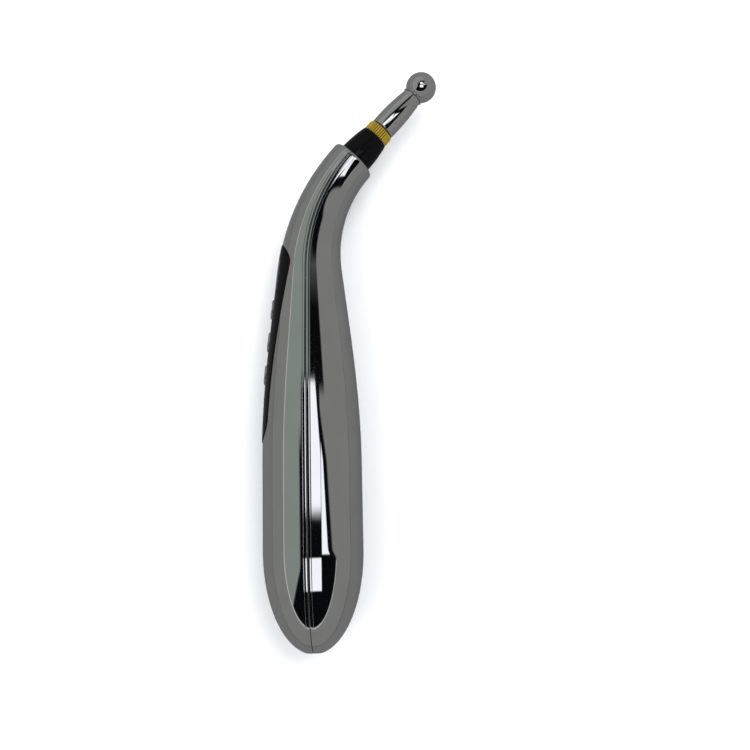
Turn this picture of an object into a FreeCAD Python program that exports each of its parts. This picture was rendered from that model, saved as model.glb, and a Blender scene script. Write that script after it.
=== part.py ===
"""Electric massager: a bent, pen-shaped casing in two plated half shells with a screw-on ball head.

The handle lies on its side. Its centreline runs from the tail along +Y, bends towards +X and lies in a
level plane. All pieces are built about that centreline, with the tail at y = 0 and the level plane at
z = 0, and are moved at the end so that the origin is under the middle of the whole object.
"""
import FreeCAD, Part
import math
import os
import Sketcher
from FreeCAD import Placement, Rotation, Vector

# Driving sizes, in millimetres and degrees
SIZES = {
    # handle outline along the centreline, measured from the tail
    "bulb_half_width": 18.9,
    "bulb_half_depth": 16.0,
    "neck_radius": 9.2,
    "tail_length": 38.0,
    "bulb_end": 70.0,
    "straight_length": 144.5,
    "lower_bend_radius": 70.0,
    "lower_bend_angle": 16.5,
    "upper_bend_radius": 66.0,
    "upper_bend_angle": 27.0,
    "tail_flat": 0.55,
    "neck_round": 1.2,
    # casing
    "shell_wall": 2.0,
    "seam_gap": 0.2,
    "seam_land": 1.2,
    "seam_step": 0.25,
    "rib_thickness": 1.6,
    "rib_root": 1.0,
    # control panel, placed along the circuit board
    "panel_top": 36.3,
    "panel_top_radius": 9.8,
    "panel_foot": -24.0,
    "panel_foot_radius": 8.6,
    "panel_reach": 4.0,
    "panel_thickness": 1.0,
    "panel_proud": 0.3,
    "panel_fit": 0.1,
    "glue_line": 0.05,
    "window_place": 33.5,
    "window_length": 13.0,
    "window_width": 10.5,
    "window_corner": 1.6,
    # buttons and their switches
    "button_radius": 3.9,
    "button_proud": 0.6,
    "button_fit": 0.15,
    "button_travel": 0.5,
    "first_button": -6.0,
    "button_pitch": 13.0,
    "flange_radius": 4.9,
    "flange_gap": 0.2,
    "switch_side": 6.0,
    "switch_height": 3.0,
    "plunger_radius": 1.7,
    "plunger_height": 3.9,
    "plunger_fit": 0.1,
    # circuit board
    "board_depth": 8.5,
    "board_middle": 110.0,
    "board_tilt": 5.0,
    "board_foot": -36.0,
    "board_top": 46.0,
    "board_width": 14.0,
    "board_thickness": 1.2,
    "board_fit": 0.1,
    "screw_place": -31.5,
    "screw_spread": 4.4,
    "screw_radius": 0.85,
    "screw_length": 5.0,
    "screw_head_radius": 1.8,
    "screw_head_height": 1.2,
    "screw_fit": 0.05,
    "boss_radius": 2.2,
    # display stack on the board
    "display_fit": 0.3,
    "holder_height": 0.8,
    "holder_rim": 1.0,
    "backlight_thickness": 1.4,
    "glass_thickness": 1.6,
    # pieces on the back of the board
    "core_length": 12.0,
    "core_width": 11.0,
    "core_height": 9.0,
    "core_leg": 3.0,
    "core_place": -8.0,
    "winding_fit": 0.1,
    "capacitor_radius": 3.15,
    "capacitor_height": 7.0,
    "capacitor_place": 5.0,
    "buzzer_radius": 4.5,
    "buzzer_height": 4.5,
    "buzzer_place": 15.0,
    "chip_length": 9.9,
    "chip_width": 6.0,
    "chip_height": 1.75,
    "chip_place": 29.0,
    "leaf_thickness": 0.4,
    "leaf_width": 4.0,
    "leaf_foot": 5.0,
    "leaf_place": -17.0,
    "leaf_gap": 0.2,
    # battery
    "cell_radius": 7.0,
    "cell_length": 50.0,
    "cell_start": 19.0,
    "cell_offset": 2.0,
    "cell_button_radius": 2.7,
    "cell_button_height": 0.8,
    "cell_fit": 0.1,
    "lead_radius": 0.45,
    "head_lead_radius": 0.6,
    "channel_radius": 2.2,
    "channel_offset": 8.0,
    "lead_pitch": 1.3,
    # charge socket in the tail
    "jack_bore_radius": 1.3,
    "jack_bore_depth": 11.0,
    "jack_nose_radius": 1.9,
    "jack_nose_length": 4.4,
    "jack_body_radius": 3.3,
    "jack_body_length": 9.5,
    "jack_fit": 0.1,
    "jack_rib_place": 8.5,
    # collar, ring and head, along the neck's axis
    "collar_radius": 6.85,
    "collar_front_radius": 5.6,
    "collar_length": 12.0,
    "spigot_length": 9.0,
    "collar_fit": 0.05,
    "lock_depth": 1.0,
    "lock_width": 1.5,
    "lock_place": 3.5,
    "ring_radius": 5.45,
    "ring_length": 4.1,
    "flute_count": 36,
    "flute_depth": 0.4,
    "stud_radius": 3.0,
    "stud_reach": 6.4,
    "stud_fit": 0.05,
    "stud_flange_radius": 4.8,
    "stud_flange": 1.6,
    "seal_radius": 4.6,
    "seal_thickness": 0.6,
    "seal_fit": 0.2,
    "head_base_radius": 4.9,
    "head_curve": 90.0,
    "head_end_radius": 3.9,
    "head_length": 18.2,
    "ball_radius": 6.05,
    "ball_place": 23.3,
    "head_bore_spare": 0.6,
}

FAR = 90.0  # reach of the cutting blocks, past every piece

doc = FreeCAD.newDocument("massager")
sheet = doc.addObject("Spreadsheet::Sheet", "sizes")
for row, (alias, amount) in enumerate(SIZES.items(), start=1):
    sheet.set(f"A{row}", alias)
    sheet.set(f"B{row}", str(amount))
    sheet.setAlias(f"B{row}", alias)
doc.recompute()
pieces = []


def size(alias):
    """A driving size, read back from the sheet."""
    return float(sheet.get(alias))


def value(formula):
    """The number that a sheet formula, or a plain number, stands for."""
    return float(sheet.evalExpression(str(formula).replace("sizes.", "")))


def named(shape_object, label, place=None):
    """Keep a document object as a finished piece."""
    shape_object.Label = label
    if place is not None:
        shape_object.Placement = place
    pieces.append(shape_object)
    return shape_object


# Centreline and skin of the handle
LOWER_ANGLE = math.radians(size("lower_bend_angle"))
UPPER_ANGLE = math.radians(size("upper_bend_angle"))
LOWER_ARC = size("lower_bend_radius") * LOWER_ANGLE
UPPER_ARC = size("upper_bend_radius") * UPPER_ANGLE
NECK_END = size("straight_length") + LOWER_ARC + UPPER_ARC


def beside(heading, radius, centre):
    """Point of a bend's circle at a heading."""
    return centre + Vector(-math.cos(heading), math.sin(heading), 0) * radius


LOWER_CENTRE = Vector(size("lower_bend_radius"), size("straight_length"), 0)
BEND_JOIN = beside(LOWER_ANGLE, size("lower_bend_radius"), LOWER_CENTRE)
JOIN_OUTWARD = Vector(-math.cos(LOWER_ANGLE), math.sin(LOWER_ANGLE), 0)
UPPER_CENTRE = BEND_JOIN - JOIN_OUTWARD * size("upper_bend_radius")
NECK_HEADING = LOWER_ANGLE + UPPER_ANGLE
NECK_POINT = beside(NECK_HEADING, size("upper_bend_radius"), UPPER_CENTRE)
NECK_AXIS = Vector(math.sin(NECK_HEADING), math.cos(NECK_HEADING), 0)


def centreline(along):
    """Point and heading of the centreline at a distance from the tail."""
    past = along - size("straight_length")
    if past <= 0:
        return Vector(0, along, 0), 0.0
    if past <= LOWER_ARC:
        heading = past / size("lower_bend_radius")
        return beside(heading, size("lower_bend_radius"), LOWER_CENTRE), heading
    if past <= LOWER_ARC + UPPER_ARC:
        heading = LOWER_ANGLE + (past - LOWER_ARC) / size("upper_bend_radius")
        return beside(heading, size("upper_bend_radius"), UPPER_CENTRE), heading
    return NECK_POINT + NECK_AXIS * (along - NECK_END), NECK_HEADING


def taper(along):
    """Share of the bulb's girth that is left between the bulb and the neck."""
    run = (along - size("bulb_end")) / (NECK_END - size("bulb_end"))
    return (1 + math.cos(math.pi * min(max(run, 0.0), 1.0))) / 2


def half_width(along):
    """Half width of the skin past the tail's dome."""
    return size("neck_radius") + (size("bulb_half_width") - size("neck_radius")) * taper(along)


TAIL_STEPS = 7
BULB_STEPS = 4
TAPER_STEPS = 13
ROUND_STEPS = 4


def skin(name, inset, rounded):
    """Solid of the handle with its surface moved in by an inset; rounded, or running past the neck's end."""
    depth = value(inset)
    dome = size("tail_length") - depth
    start = math.acos((dome - size("tail_flat")) / dome)
    rings = []
    for step in range(TAIL_STEPS + 1):
        turn = start + (math.pi / 2 - start) * step / TAIL_STEPS
        rings.append((size("tail_length") - dome * math.cos(turn), math.sin(turn), 1.0, 0.0))
    for step in range(1, BULB_STEPS):
        reach = (size("bulb_end") - size("tail_length")) * step / BULB_STEPS
        rings.append((size("tail_length") + reach, 1.0, 1.0, 0.0))
    end = NECK_END - (size("neck_round") if rounded else 0.0)
    for step in range(TAPER_STEPS + 1):
        along = size("bulb_end") + (end - size("bulb_end")) * step / TAPER_STEPS
        rings.append((along, 1.0, taper(along), 0.0))
    if rounded:
        for step in range(1, ROUND_STEPS + 1):
            turn = math.pi / 2 * step / ROUND_STEPS
            rings.append((end + size("neck_round") * math.sin(turn), 1.0, 0.0, 1 - math.cos(turn)))
    else:
        rings.append((NECK_END + size("spigot_length"), 1.0, 0.0, 0.0))
    sections = []
    for along, swell, share, lost in rings:
        centre, heading = centreline(along)
        radii = []
        for girth in ("bulb_half_width", "bulb_half_depth"):
            grown = f"sizes.neck_radius + (sizes.{girth} - sizes.neck_radius) * {share:.9f}"
            radii.append(f"({grown} - ({inset}) - sizes.neck_round * {lost:.9f}) * {swell:.9f}")
        across = Vector(math.cos(heading), -math.sin(heading), 0)
        flat = value(radii[0]) >= value(radii[1])
        section = doc.addObject("Part::Ellipse", f"{name}_section")
        section.setExpression("MajorRadius", radii[0] if flat else radii[1])
        section.setExpression("MinorRadius", radii[1] if flat else radii[0])
        section.Angle1 = 0 if flat else -90
        section.Angle2 = 360 if flat else 270
        first, second = (across, Vector(0, 0, 1)) if flat else (Vector(0, 0, 1), across * -1)
        section.Placement = Placement(centre, Rotation(first, second, first.cross(second), "XYZ"))
        sections.append(section)
    loft = doc.addObject("Part::Loft", name)
    loft.Sections = sections
    loft.Solid = True
    return loft


def centreline_side(offset):
    """Edges of the centreline moved sideways, from behind the tail to past the head."""
    lower = size("lower_bend_radius") - offset
    upper = size("upper_bend_radius") - offset
    tail = Vector(offset, -FAR, 0)
    straight = Vector(offset, size("straight_length"), 0)
    join = beside(LOWER_ANGLE, lower, LOWER_CENTRE)
    neck = beside(NECK_HEADING, upper, UPPER_CENTRE)
    middle = LOWER_ANGLE + UPPER_ANGLE / 2
    return [
        Part.LineSegment(tail, straight).toShape(),
        Part.Arc(straight, beside(LOWER_ANGLE / 2, lower, LOWER_CENTRE), join).toShape(),
        Part.Arc(join, beside(middle, upper, UPPER_CENTRE), neck).toShape(),
        Part.LineSegment(neck, neck + NECK_AXIS * FAR).toShape(),
    ]


def block_between(name, low, high):
    """Upright block between two sideways offsets of the centreline."""
    left = centreline_side(low)
    right = centreline_side(high)
    ends = [
        Part.LineSegment(left[0].Vertexes[0].Point, right[0].Vertexes[0].Point).toShape(),
        Part.LineSegment(left[-1].Vertexes[-1].Point, right[-1].Vertexes[-1].Point).toShape(),
    ]
    outline = Part.Wire(Part.sortEdges(left + right + ends)[0])
    block = doc.addObject("Part::Feature", name)
    face = Part.Face(outline)
    face.translate(Vector(0, 0, -FAR))
    block.Shape = face.extrude(Vector(0, 0, 2 * FAR))
    return block


# Places of the pieces that are built in frames of their own
BOARD_TILT = math.radians(size("board_tilt"))
BOARD_ALONG = Vector(math.sin(BOARD_TILT), math.cos(BOARD_TILT), 0)
BOARD_OUT = Vector(-math.cos(BOARD_TILT), math.sin(BOARD_TILT), 0)
BOARD_POINT = Vector(size("board_depth") - half_width(size("board_middle")), size("board_middle"), 0)
BOARD_TURN = Rotation(BOARD_ALONG, Vector(0, 0, -1), BOARD_OUT, "XYZ")
NECK_ACROSS = Vector(math.cos(NECK_HEADING), -math.sin(NECK_HEADING), 0)
NECK_TURN = Rotation(NECK_ACROSS, Vector(0, 0, -1), NECK_AXIS, "ZXY")


def on_board(along, across=0.0, out=0.0):
    """Frame on the board: X along it towards the head, Z out of its front."""
    return Placement(BOARD_POINT + BOARD_ALONG * along + Vector(0, 0, -across) + BOARD_OUT * out, BOARD_TURN)


def on_neck(out=0.0):
    """Frame on the neck's axis, with Z pointing out of the head."""
    return Placement(NECK_POINT + NECK_AXIS * out, NECK_TURN)


# Building blocks
def bound(kind, name, place, **formulas):
    """A primitive whose sizes follow the sheet."""
    primitive = doc.addObject(kind, name)
    for prop, formula in formulas.items():
        primitive.setExpression(prop, str(formula))
    primitive.Placement = place
    return primitive


def box(name, place, length, width, height):
    """A box that stands on its place, centred across X and Y."""
    corner = Vector(-value(length) / 2, -value(width) / 2, 0)
    place = place * Placement(corner, Rotation())
    return bound("Part::Box", name, place, Length=length, Width=width, Height=height)


def rod(name, place, radius, height):
    """A round rod that stands on its place."""
    return bound("Part::Cylinder", name, place, Radius=radius, Height=height)


def cut(name, base, *tools):
    """Base less each tool in turn."""
    for tool in tools:
        result = doc.addObject("Part::Cut", name)
        result.Base = base
        result.Tool = tool
        base = result
    return base


def common(name, base, tool):
    """What two shapes share."""
    result = doc.addObject("Part::Common", name)
    result.Base = base
    result.Tool = tool
    return result


def fused(name, *shapes):
    """Several shapes as one solid."""
    result = doc.addObject("Part::MultiFuse", name)
    result.Shapes = list(shapes)
    return result


def group(name, *shapes):
    """Several separate solids in one piece."""
    result = doc.addObject("Part::Compound", name)
    result.Links = list(shapes)
    return result


def origin_feature(body, role):
    """One of a body's own planes or axes."""
    return next(feature for feature in body.Origin.OriginFeatures if feature.Role == role)


def arc_centre(start, end, radius):
    """Centre of an arc that bulges to the right of the way from start to end."""
    chord = end - start
    rise = math.sqrt(radius ** 2 - (chord.Length / 2) ** 2)
    return (start + end) * 0.5 + Vector(-chord.y, chord.x, 0).normalize() * rise


def outline(body, name, plane, points, arcs=None):
    """Closed sketch through points given as sheet formulas; arcs maps an edge's number to its radius."""
    arcs = arcs or {}
    sketch = body.newObject("Sketcher::SketchObject", name)
    sketch.AttachmentSupport = (origin_feature(body, plane), [""])
    sketch.MapMode = "FlatFace"
    corners = [Vector(value(u), value(v), 0) for u, v in points]
    count = len(corners)
    for edge, start in enumerate(corners):
        end = corners[(edge + 1) % count]
        if edge in arcs:
            middle = arc_centre(start, end, value(arcs[edge]))
            angles = [math.atan2(p.y - middle.y, p.x - middle.x) for p in (start, end)]
            circle = Part.Circle(middle, Vector(0, 0, 1), value(arcs[edge]))
            sketch.addGeometry(Part.ArcOfCircle(circle, angles[0], angles[1]), False)
        else:
            sketch.addGeometry(Part.LineSegment(start, end), False)
    for edge in range(count):
        sketch.addConstraint(Sketcher.Constraint("Coincident", edge, 2, (edge + 1) % count, 1))
    for edge, corner in enumerate(points):
        for kind, formula in zip(("DistanceX", "DistanceY"), corner):
            place = sketch.addConstraint(Sketcher.Constraint(kind, -1, 1, edge, 1, value(formula)))
            sketch.setExpression(f"Constraints[{place}]", str(formula))
    for edge, radius in arcs.items():
        place = sketch.addConstraint(Sketcher.Constraint("Radius", edge, value(radius)))
        sketch.setExpression(f"Constraints[{place}]", str(radius))
    return sketch


def turned(name, points, arcs=None):
    """A turned body: a profile of (radius, height) points spun round Z."""
    body = doc.addObject("PartDesign::Body", name)
    sketch = outline(body, f"{name}_profile", "XZ_Plane", points, arcs)
    spin = body.newObject("PartDesign::Revolution", f"{name}_spin")
    spin.Profile = sketch
    spin.ReferenceAxis = (sketch, ["V_Axis"])
    spin.Angle = 360
    return body


def standing_prism(name, edges, place):
    """Prism of a closed outline, standing out of its place."""
    prism = doc.addObject("Part::Feature", name)
    prism.Shape = Part.Face(Part.Wire(edges)).extrude(Vector(0, 0, FAR))
    prism.Placement = place
    return prism


def panel_prism(name, spare):
    """Prism of the panel's outline, grown by a clearance: two circles and their outer tangents."""
    top, foot = size("panel_top"), size("panel_foot")
    big, small = size("panel_top_radius") + spare, size("panel_foot_radius") + spare
    lean = math.asin((big - small) / (top - foot))
    high = Vector(top - big * math.sin(lean), big * math.cos(lean), 0)
    low = Vector(foot - small * math.sin(lean), small * math.cos(lean), 0)
    far_high, far_low = Vector(high.x, -high.y, 0), Vector(low.x, -low.y, 0)
    edges = [
        Part.LineSegment(high, low).toShape(),
        Part.Arc(low, Vector(foot - small, 0, 0), far_low).toShape(),
        Part.LineSegment(far_low, far_high).toShape(),
        Part.Arc(far_high, Vector(top + big, 0, 0), high).toShape(),
    ]
    return standing_prism(name, edges, on_board(0, 0, -size("panel_reach")))


def window_prism(name, spare):
    """Prism of the display window's rounded outline, grown by a clearance."""
    corner = size("window_corner") + spare
    far_x = size("window_length") / 2 + spare
    far_y = size("window_width") / 2 + spare
    edges = []
    for turn in range(4):
        along, across = (far_x, far_y) if turn % 2 == 0 else (far_y, far_x)
        spin = Rotation(Vector(0, 0, 1), 90 * turn)
        bend = corner * (1 - math.sqrt(0.5))
        points = [Vector(along, corner - across, 0), Vector(along, across - corner, 0),
                  Vector(along - bend, across - bend, 0), Vector(along - corner, across, 0)]
        points = [spin.multVec(point) for point in points]
        edges.append(Part.LineSegment(points[0], points[1]).toShape())
        edges.append(Part.Arc(points[1], points[2], points[3]).toShape())
    return standing_prism(name, edges, on_board(size("window_place")))


def lead(name, points, radius, bend):
    """A wire along straight runs joined by arcs of one radius."""
    path = []
    here = points[0]
    for before, corner, after in zip(points, points[1:], points[2:]):
        back = (before - corner).normalize()
        onward = (after - corner).normalize()
        half = back.getAngle(onward) / 2
        reach = bend / math.tan(half)
        middle = corner + (back + onward).normalize() * (bend / math.sin(half) - bend)
        path.append(Part.LineSegment(here, corner + back * reach).toShape())
        path.append(Part.Arc(corner + back * reach, middle, corner + onward * reach).toShape())
        here = corner + onward * reach
    path.append(Part.LineSegment(here, points[-1]).toShape())
    start = Part.Wire([Part.Circle(points[0], points[1] - points[0], radius).toShape()])
    wire = doc.addObject("Part::Feature", name)
    wire.Shape = Part.Wire(path).makePipeShell([start], True, False)
    return wire


BUTTON_PLACES = {
    "minus": size("first_button"),
    "plus": size("first_button") + size("button_pitch"),
    "power": size("first_button") + 2 * size("button_pitch"),
}

# Skins of the handle at the depths that its pieces need
outer = skin("outer_skin", 0, True)
step_floor = skin("step_floor", "sizes.seam_step", True)
cavity = skin("cavity", "sizes.shell_wall", False)
rib_reach = skin("rib_reach", "sizes.rib_root", False)
panel_face = skin("panel_face", "-sizes.panel_proud", True)
panel_back = skin("panel_back", "sizes.panel_thickness", False)
recess_floor = skin("recess_floor", "sizes.panel_thickness + sizes.glue_line", False)
button_face = skin("button_face", "-sizes.panel_proud - sizes.button_proud", True)
flange_face = skin("flange_face", "sizes.shell_wall + sizes.flange_gap", False)


# Casing
TAIL_TURN = Rotation(Vector(1, 0, 0), -90)  # stands a rod along +Y
TAIL_FACE = Vector(0, size("tail_flat"), 0)
CELL_END = size("cell_start") + size("cell_length") + size("cell_button_height")
CELL_ROOM = "sizes.cell_radius + sizes.cell_fit"
RIB_PLACES = (
    size("jack_rib_place"),
    size("cell_start") - size("cell_fit") - size("rib_thickness"),
    size("cell_start") + size("cell_length") / 2,
    size("cell_start") + size("cell_length") + size("cell_fit"),
)


def along_tail(x, y, z=0.0):
    """Frame whose Z runs along the handle's straight part."""
    return Placement(Vector(x, y, z), TAIL_TURN)


def cross_ribs():
    """Ribs across the handle that hold the socket, the cell and the head of the board."""
    plates = []
    for y in RIB_PLACES:
        plates.append(box("rib_plate", along_tail(0, y), FAR, FAR, "sizes.rib_thickness"))
    head_rib = on_board(size("board_top") - 2 * size("rib_thickness"), 0, -FAR / 2)
    plates.append(box("board_rib_plate", head_rib, "sizes.rib_thickness", FAR, FAR))
    return common("ribs", fused("rib_plates", *plates), rib_reach)


def rib_openings():
    """Room in the ribs for the cell, its ends, the leads and the neck's wire."""
    cell = along_tail(size("cell_offset"), size("cell_start") - size("cell_fit"))
    cell_ends = along_tail(size("cell_offset"), size("cell_start") - 2 * size("rib_thickness"))
    channel = along_tail(-size("channel_offset"), size("jack_rib_place") + size("rib_thickness"))
    neck_way = on_board(size("board_top") - 4 * size("rib_thickness"), 0, -size("board_depth"))
    return [
        rod("cell_room", cell, CELL_ROOM, "sizes.cell_length + 2 * sizes.cell_fit"),
        rod("cell_end_room", cell_ends, "sizes.cell_button_radius + sizes.cell_fit + sizes.lead_radius", FAR),
        rod("lead_channel", channel, "sizes.channel_radius", FAR),
        rod("neck_way", neck_way * Placement(Vector(), Rotation(Vector(0, 1, 0), 90)),
            "sizes.channel_radius", FAR / 4),
    ]


def casing():
    """Hollow handle with its ribs, neck bore and tail hole, before it is parted."""
    land = size("seam_land") + size("seam_gap") / 2
    step = cut("seam_step_ring", block_between("seam_block", -land, land), step_floor)
    closed_cavity = cut("closed_cavity", cavity, rod("solid_neck", on_neck(-size("spigot_length")), FAR, FAR))
    hollow = cut("hollow_handle", outer, step, closed_cavity)
    ribs = cut("ribs_cut", cross_ribs(), *rib_openings())
    whole = fused("whole_handle", hollow, ribs)
    bore_start = on_neck(-size("spigot_length") - size("stud_flange"))
    bore = rod("neck_bore", bore_start, "sizes.collar_radius + sizes.collar_fit", FAR)
    lock = rod("lock_rod", on_neck(-size("lock_place") - size("lock_width")), FAR, "sizes.lock_width")
    lock_hole = rod("lock_hole", on_neck(-FAR / 4), "sizes.collar_radius - sizes.lock_depth", FAR)
    bore = cut("neck_bore_locked", bore, cut("lock_ring", lock, lock_hole))
    nose = rod("jack_nose_hole", along_tail(0, -FAR / 2), "sizes.jack_nose_radius + sizes.jack_fit", FAR)
    body_room = along_tail(0, size("tail_flat") + size("jack_nose_length") - size("jack_fit"))
    body = rod("jack_body_room", body_room, "sizes.jack_body_radius + sizes.jack_fit",
               "sizes.jack_body_length + 2 * sizes.jack_fit")
    return cut("bored_handle", whole, bore, nose, body)


def button_rods(name, radius):
    """A rod through each button's place."""
    return [rod(f"{name}_{key}", on_board(along), radius, FAR) for key, along in BUTTON_PLACES.items()]


def board_room():
    """Slot for the head of the board in its rib."""
    length = "sizes.board_top - sizes.board_foot + 2 * sizes.board_fit"
    middle = (size("board_top") + size("board_foot")) / 2
    return box("board_room", on_board(middle, 0, -size("board_thickness") - size("board_fit")), length,
               "sizes.board_width + 2 * sizes.board_fit", "sizes.board_thickness + 2 * sizes.board_fit")


def screw_places():
    """The two screws at the foot of the board."""
    return [(size("screw_place"), side * size("screw_spread")) for side in (-1, 1)]


handle = casing()
bosses = []
boss_holes = []
for along, across in screw_places():
    bosses.append(rod("boss_rod", on_board(along, across), "sizes.boss_radius", FAR / 4))
    boss_holes.append(rod("boss_hole", on_board(along, across, -size("board_thickness")),
                          "sizes.screw_radius + sizes.screw_fit", "sizes.screw_length + sizes.screw_fit"))

front_half = common("front_half", handle, block_between("front_block", -FAR / 2, -size("seam_gap") / 2))
front_bosses = common("front_bosses", fused("boss_rods", *bosses), rib_reach)
recess = cut("panel_recess", panel_prism("recess_outline", size("panel_fit")), recess_floor)
front = cut("front_cut", fused("front_bossed", front_half, front_bosses), recess, board_room(), *boss_holes,
            window_prism("window_hole", size("panel_fit")),
            *button_rods("button_hole", "sizes.button_radius + sizes.button_fit"))
named(front, "front_shell")
rear_block = block_between("rear_block", size("seam_gap") / 2, size("upper_bend_radius") / 2)
named(cut("rear_cut", common("rear_half", handle, rear_block), board_room()), "rear_shell")

# Panel and window
panel_skin = cut("panel_skin", panel_face, panel_back)
panel = common("panel_sheet", panel_skin, panel_prism("panel_outline", 0))
panel = cut("panel_cut", panel, window_prism("panel_window", 0),
            *button_rods("panel_hole", "sizes.button_radius + sizes.button_fit"))
named(panel, "control_panel")
window_skin = cut("window_skin", panel_face, panel_back)
window_outline = window_prism("window_outline", -size("glue_line"))
named(common("window_sheet", window_skin, window_outline), "display_window")


# Buttons, each with the plunger of its switch
def button(key, along):
    """Cap that follows the panel's curve, with a flange behind the shell and a post down to the plunger."""
    cap = common(f"{key}_cap", rod(f"{key}_cap_rod", on_board(along, 0, size("plunger_height")),
                                   "sizes.button_radius", FAR), button_face)
    flange = common(f"{key}_flange", rod(f"{key}_flange_rod", on_board(along, 0, size("plunger_height")),
                                         "sizes.flange_radius", FAR), flange_face)
    named(fused(f"{key}_whole", cap, flange), f"{key}_button")
    travel = "sizes.plunger_height - sizes.switch_height + 2 * sizes.button_travel"
    foot = on_board(along, 0, size("switch_height") - 2 * size("button_travel"))
    named(rod(f"{key}_plunger_rod", foot, "sizes.plunger_radius", travel), f"{key}_plunger")


def switch(key, along):
    """Switch body with a blind hole for its plunger."""
    case = box(f"{key}_switch_case", on_board(along), "sizes.switch_side", "sizes.switch_side",
               "sizes.switch_height")
    floor = on_board(along, 0, size("switch_height") - 4 * size("button_travel"))
    hole = rod(f"{key}_switch_hole", floor, "sizes.plunger_radius + sizes.plunger_fit", FAR)
    return cut(f"{key}_switch", case, hole)


for key, along in BUTTON_PLACES.items():
    button(key, along)
named(group("switch_group", *[switch(key, along) for key, along in BUTTON_PLACES.items()]), "tact_switches")


# Circuit board and what is on it
def circuit_board():
    """Board with its two screw holes."""
    middle = (size("board_top") + size("board_foot")) / 2
    plate = box("board_plate", on_board(middle, 0, -size("board_thickness")),
                "sizes.board_top - sizes.board_foot",
                "sizes.board_width", "sizes.board_thickness")
    holes = [rod("board_hole", on_board(along, across, -FAR / 2),
                 "sizes.screw_radius + 2 * sizes.board_fit", FAR)
             for along, across in screw_places()]
    return cut("board", plate, *holes)


def board_screw(number, along, across):
    """Pan-head screw, driven from the back of the board into a boss."""
    screw = turned(f"screw_{number}", [
        (0, "-sizes.screw_head_height"),
        ("sizes.screw_head_radius", "-sizes.screw_head_height"),
        ("sizes.screw_head_radius", 0),
        ("sizes.screw_radius", 0),
        ("sizes.screw_radius", "sizes.screw_length"),
        (0, "sizes.screw_length"),
    ])
    screw.Placement = on_board(along, across, -size("board_thickness"))
    return screw


named(circuit_board(), "circuit_board")
screws = [board_screw(number, *place) for number, place in enumerate(screw_places())]
named(group("screw_group", *screws), "board_screws")

# Display stack: holder, light plate, glass
DISPLAY_LENGTH = "sizes.window_length - 2 * sizes.display_fit"
DISPLAY_WIDTH = "sizes.window_width - 2 * sizes.display_fit"
HOLDER_LENGTH = f"{DISPLAY_LENGTH} + 2 * sizes.holder_rim"
HOLDER_WIDTH = f"{DISPLAY_WIDTH} + 2 * sizes.holder_rim"
holder = box("holder_block", on_board(size("window_place")), HOLDER_LENGTH, HOLDER_WIDTH,
             "sizes.holder_height + sizes.backlight_thickness")
pocket = box("holder_pocket", on_board(size("window_place"), 0, size("holder_height")),
             f"{DISPLAY_LENGTH} + 2 * sizes.board_fit", f"{DISPLAY_WIDTH} + 2 * sizes.board_fit", FAR)
named(cut("holder_frame", holder, pocket), "display_holder")
light_place = on_board(size("window_place"), 0, size("holder_height"))
light_block = box("light_block", light_place, DISPLAY_LENGTH, DISPLAY_WIDTH, "sizes.backlight_thickness")
named(light_block, "backlight_plate")
glass_place = on_board(size("window_place"), 0, size("holder_height") + size("backlight_thickness"))
glass_block = box("glass_block", glass_place, DISPLAY_LENGTH, DISPLAY_WIDTH, "sizes.glass_thickness")
named(glass_block, "display_module")


def behind_board(along):
    """Frame on the back of the board, with Z pointing away from it."""
    return on_board(along, 0, -size("board_thickness")) * Placement(Vector(), Rotation(Vector(1, 0, 0), 180))


def transformer():
    """Square core with two windows, and the winding on its middle leg."""
    place = behind_board(size("core_place"))
    window_length = "(sizes.core_length - 3 * sizes.core_leg) / 2"
    middle_leg = "sizes.core_leg"
    room = box("core_window", place * Placement(Vector(0, 0, size("core_leg")), Rotation()),
               f"{middle_leg} + 2 * {window_length}", FAR, "sizes.core_height - 2 * sizes.core_leg")
    leg = box("core_middle_leg", place, middle_leg, "sizes.core_width", "sizes.core_height")
    block = box("core_block", place, "sizes.core_length", "sizes.core_width", "sizes.core_height")
    named(cut("core_cut", block, cut("core_windows", room, leg)), "transformer_core")
    coil_foot = Placement(Vector(0, 0, size("core_leg") + size("winding_fit")), Rotation())
    coil = box("coil_block", place * coil_foot,
               f"{middle_leg} + 2 * {window_length} - 2 * sizes.winding_fit",
               "sizes.core_width + 2 * sizes.core_leg",
               "sizes.core_height - 2 * sizes.core_leg - 2 * sizes.winding_fit")
    coil_hole = box("coil_hole", place, f"{middle_leg} + 2 * sizes.winding_fit",
                    "sizes.core_width + 2 * sizes.winding_fit", "sizes.core_height")
    named(cut("coil_cut", coil, coil_hole), "transformer_winding")


transformer()
can = turned("can", [
    (0, 0),
    ("sizes.capacitor_radius", 0),
    ("sizes.capacitor_radius", "sizes.capacitor_height"),
    (0, "sizes.capacitor_height"),
])
named(can, "reservoir_capacitor", behind_board(size("capacitor_place")))
sounder = turned("sounder", [
    (0, 0),
    ("sizes.buzzer_radius", 0),
    ("sizes.buzzer_radius", "sizes.buzzer_height"),
    ("sizes.buzzer_radius / 4", "sizes.buzzer_height"),
    ("sizes.buzzer_radius / 4", "sizes.buzzer_height / 2"),
    (0, "sizes.buzzer_height / 2"),
])
named(sounder, "buzzer", behind_board(size("buzzer_place")))
named(box("chip_block", behind_board(size("chip_place")), "sizes.chip_length", "sizes.chip_width",
          "sizes.chip_height"), "control_chip")


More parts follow.
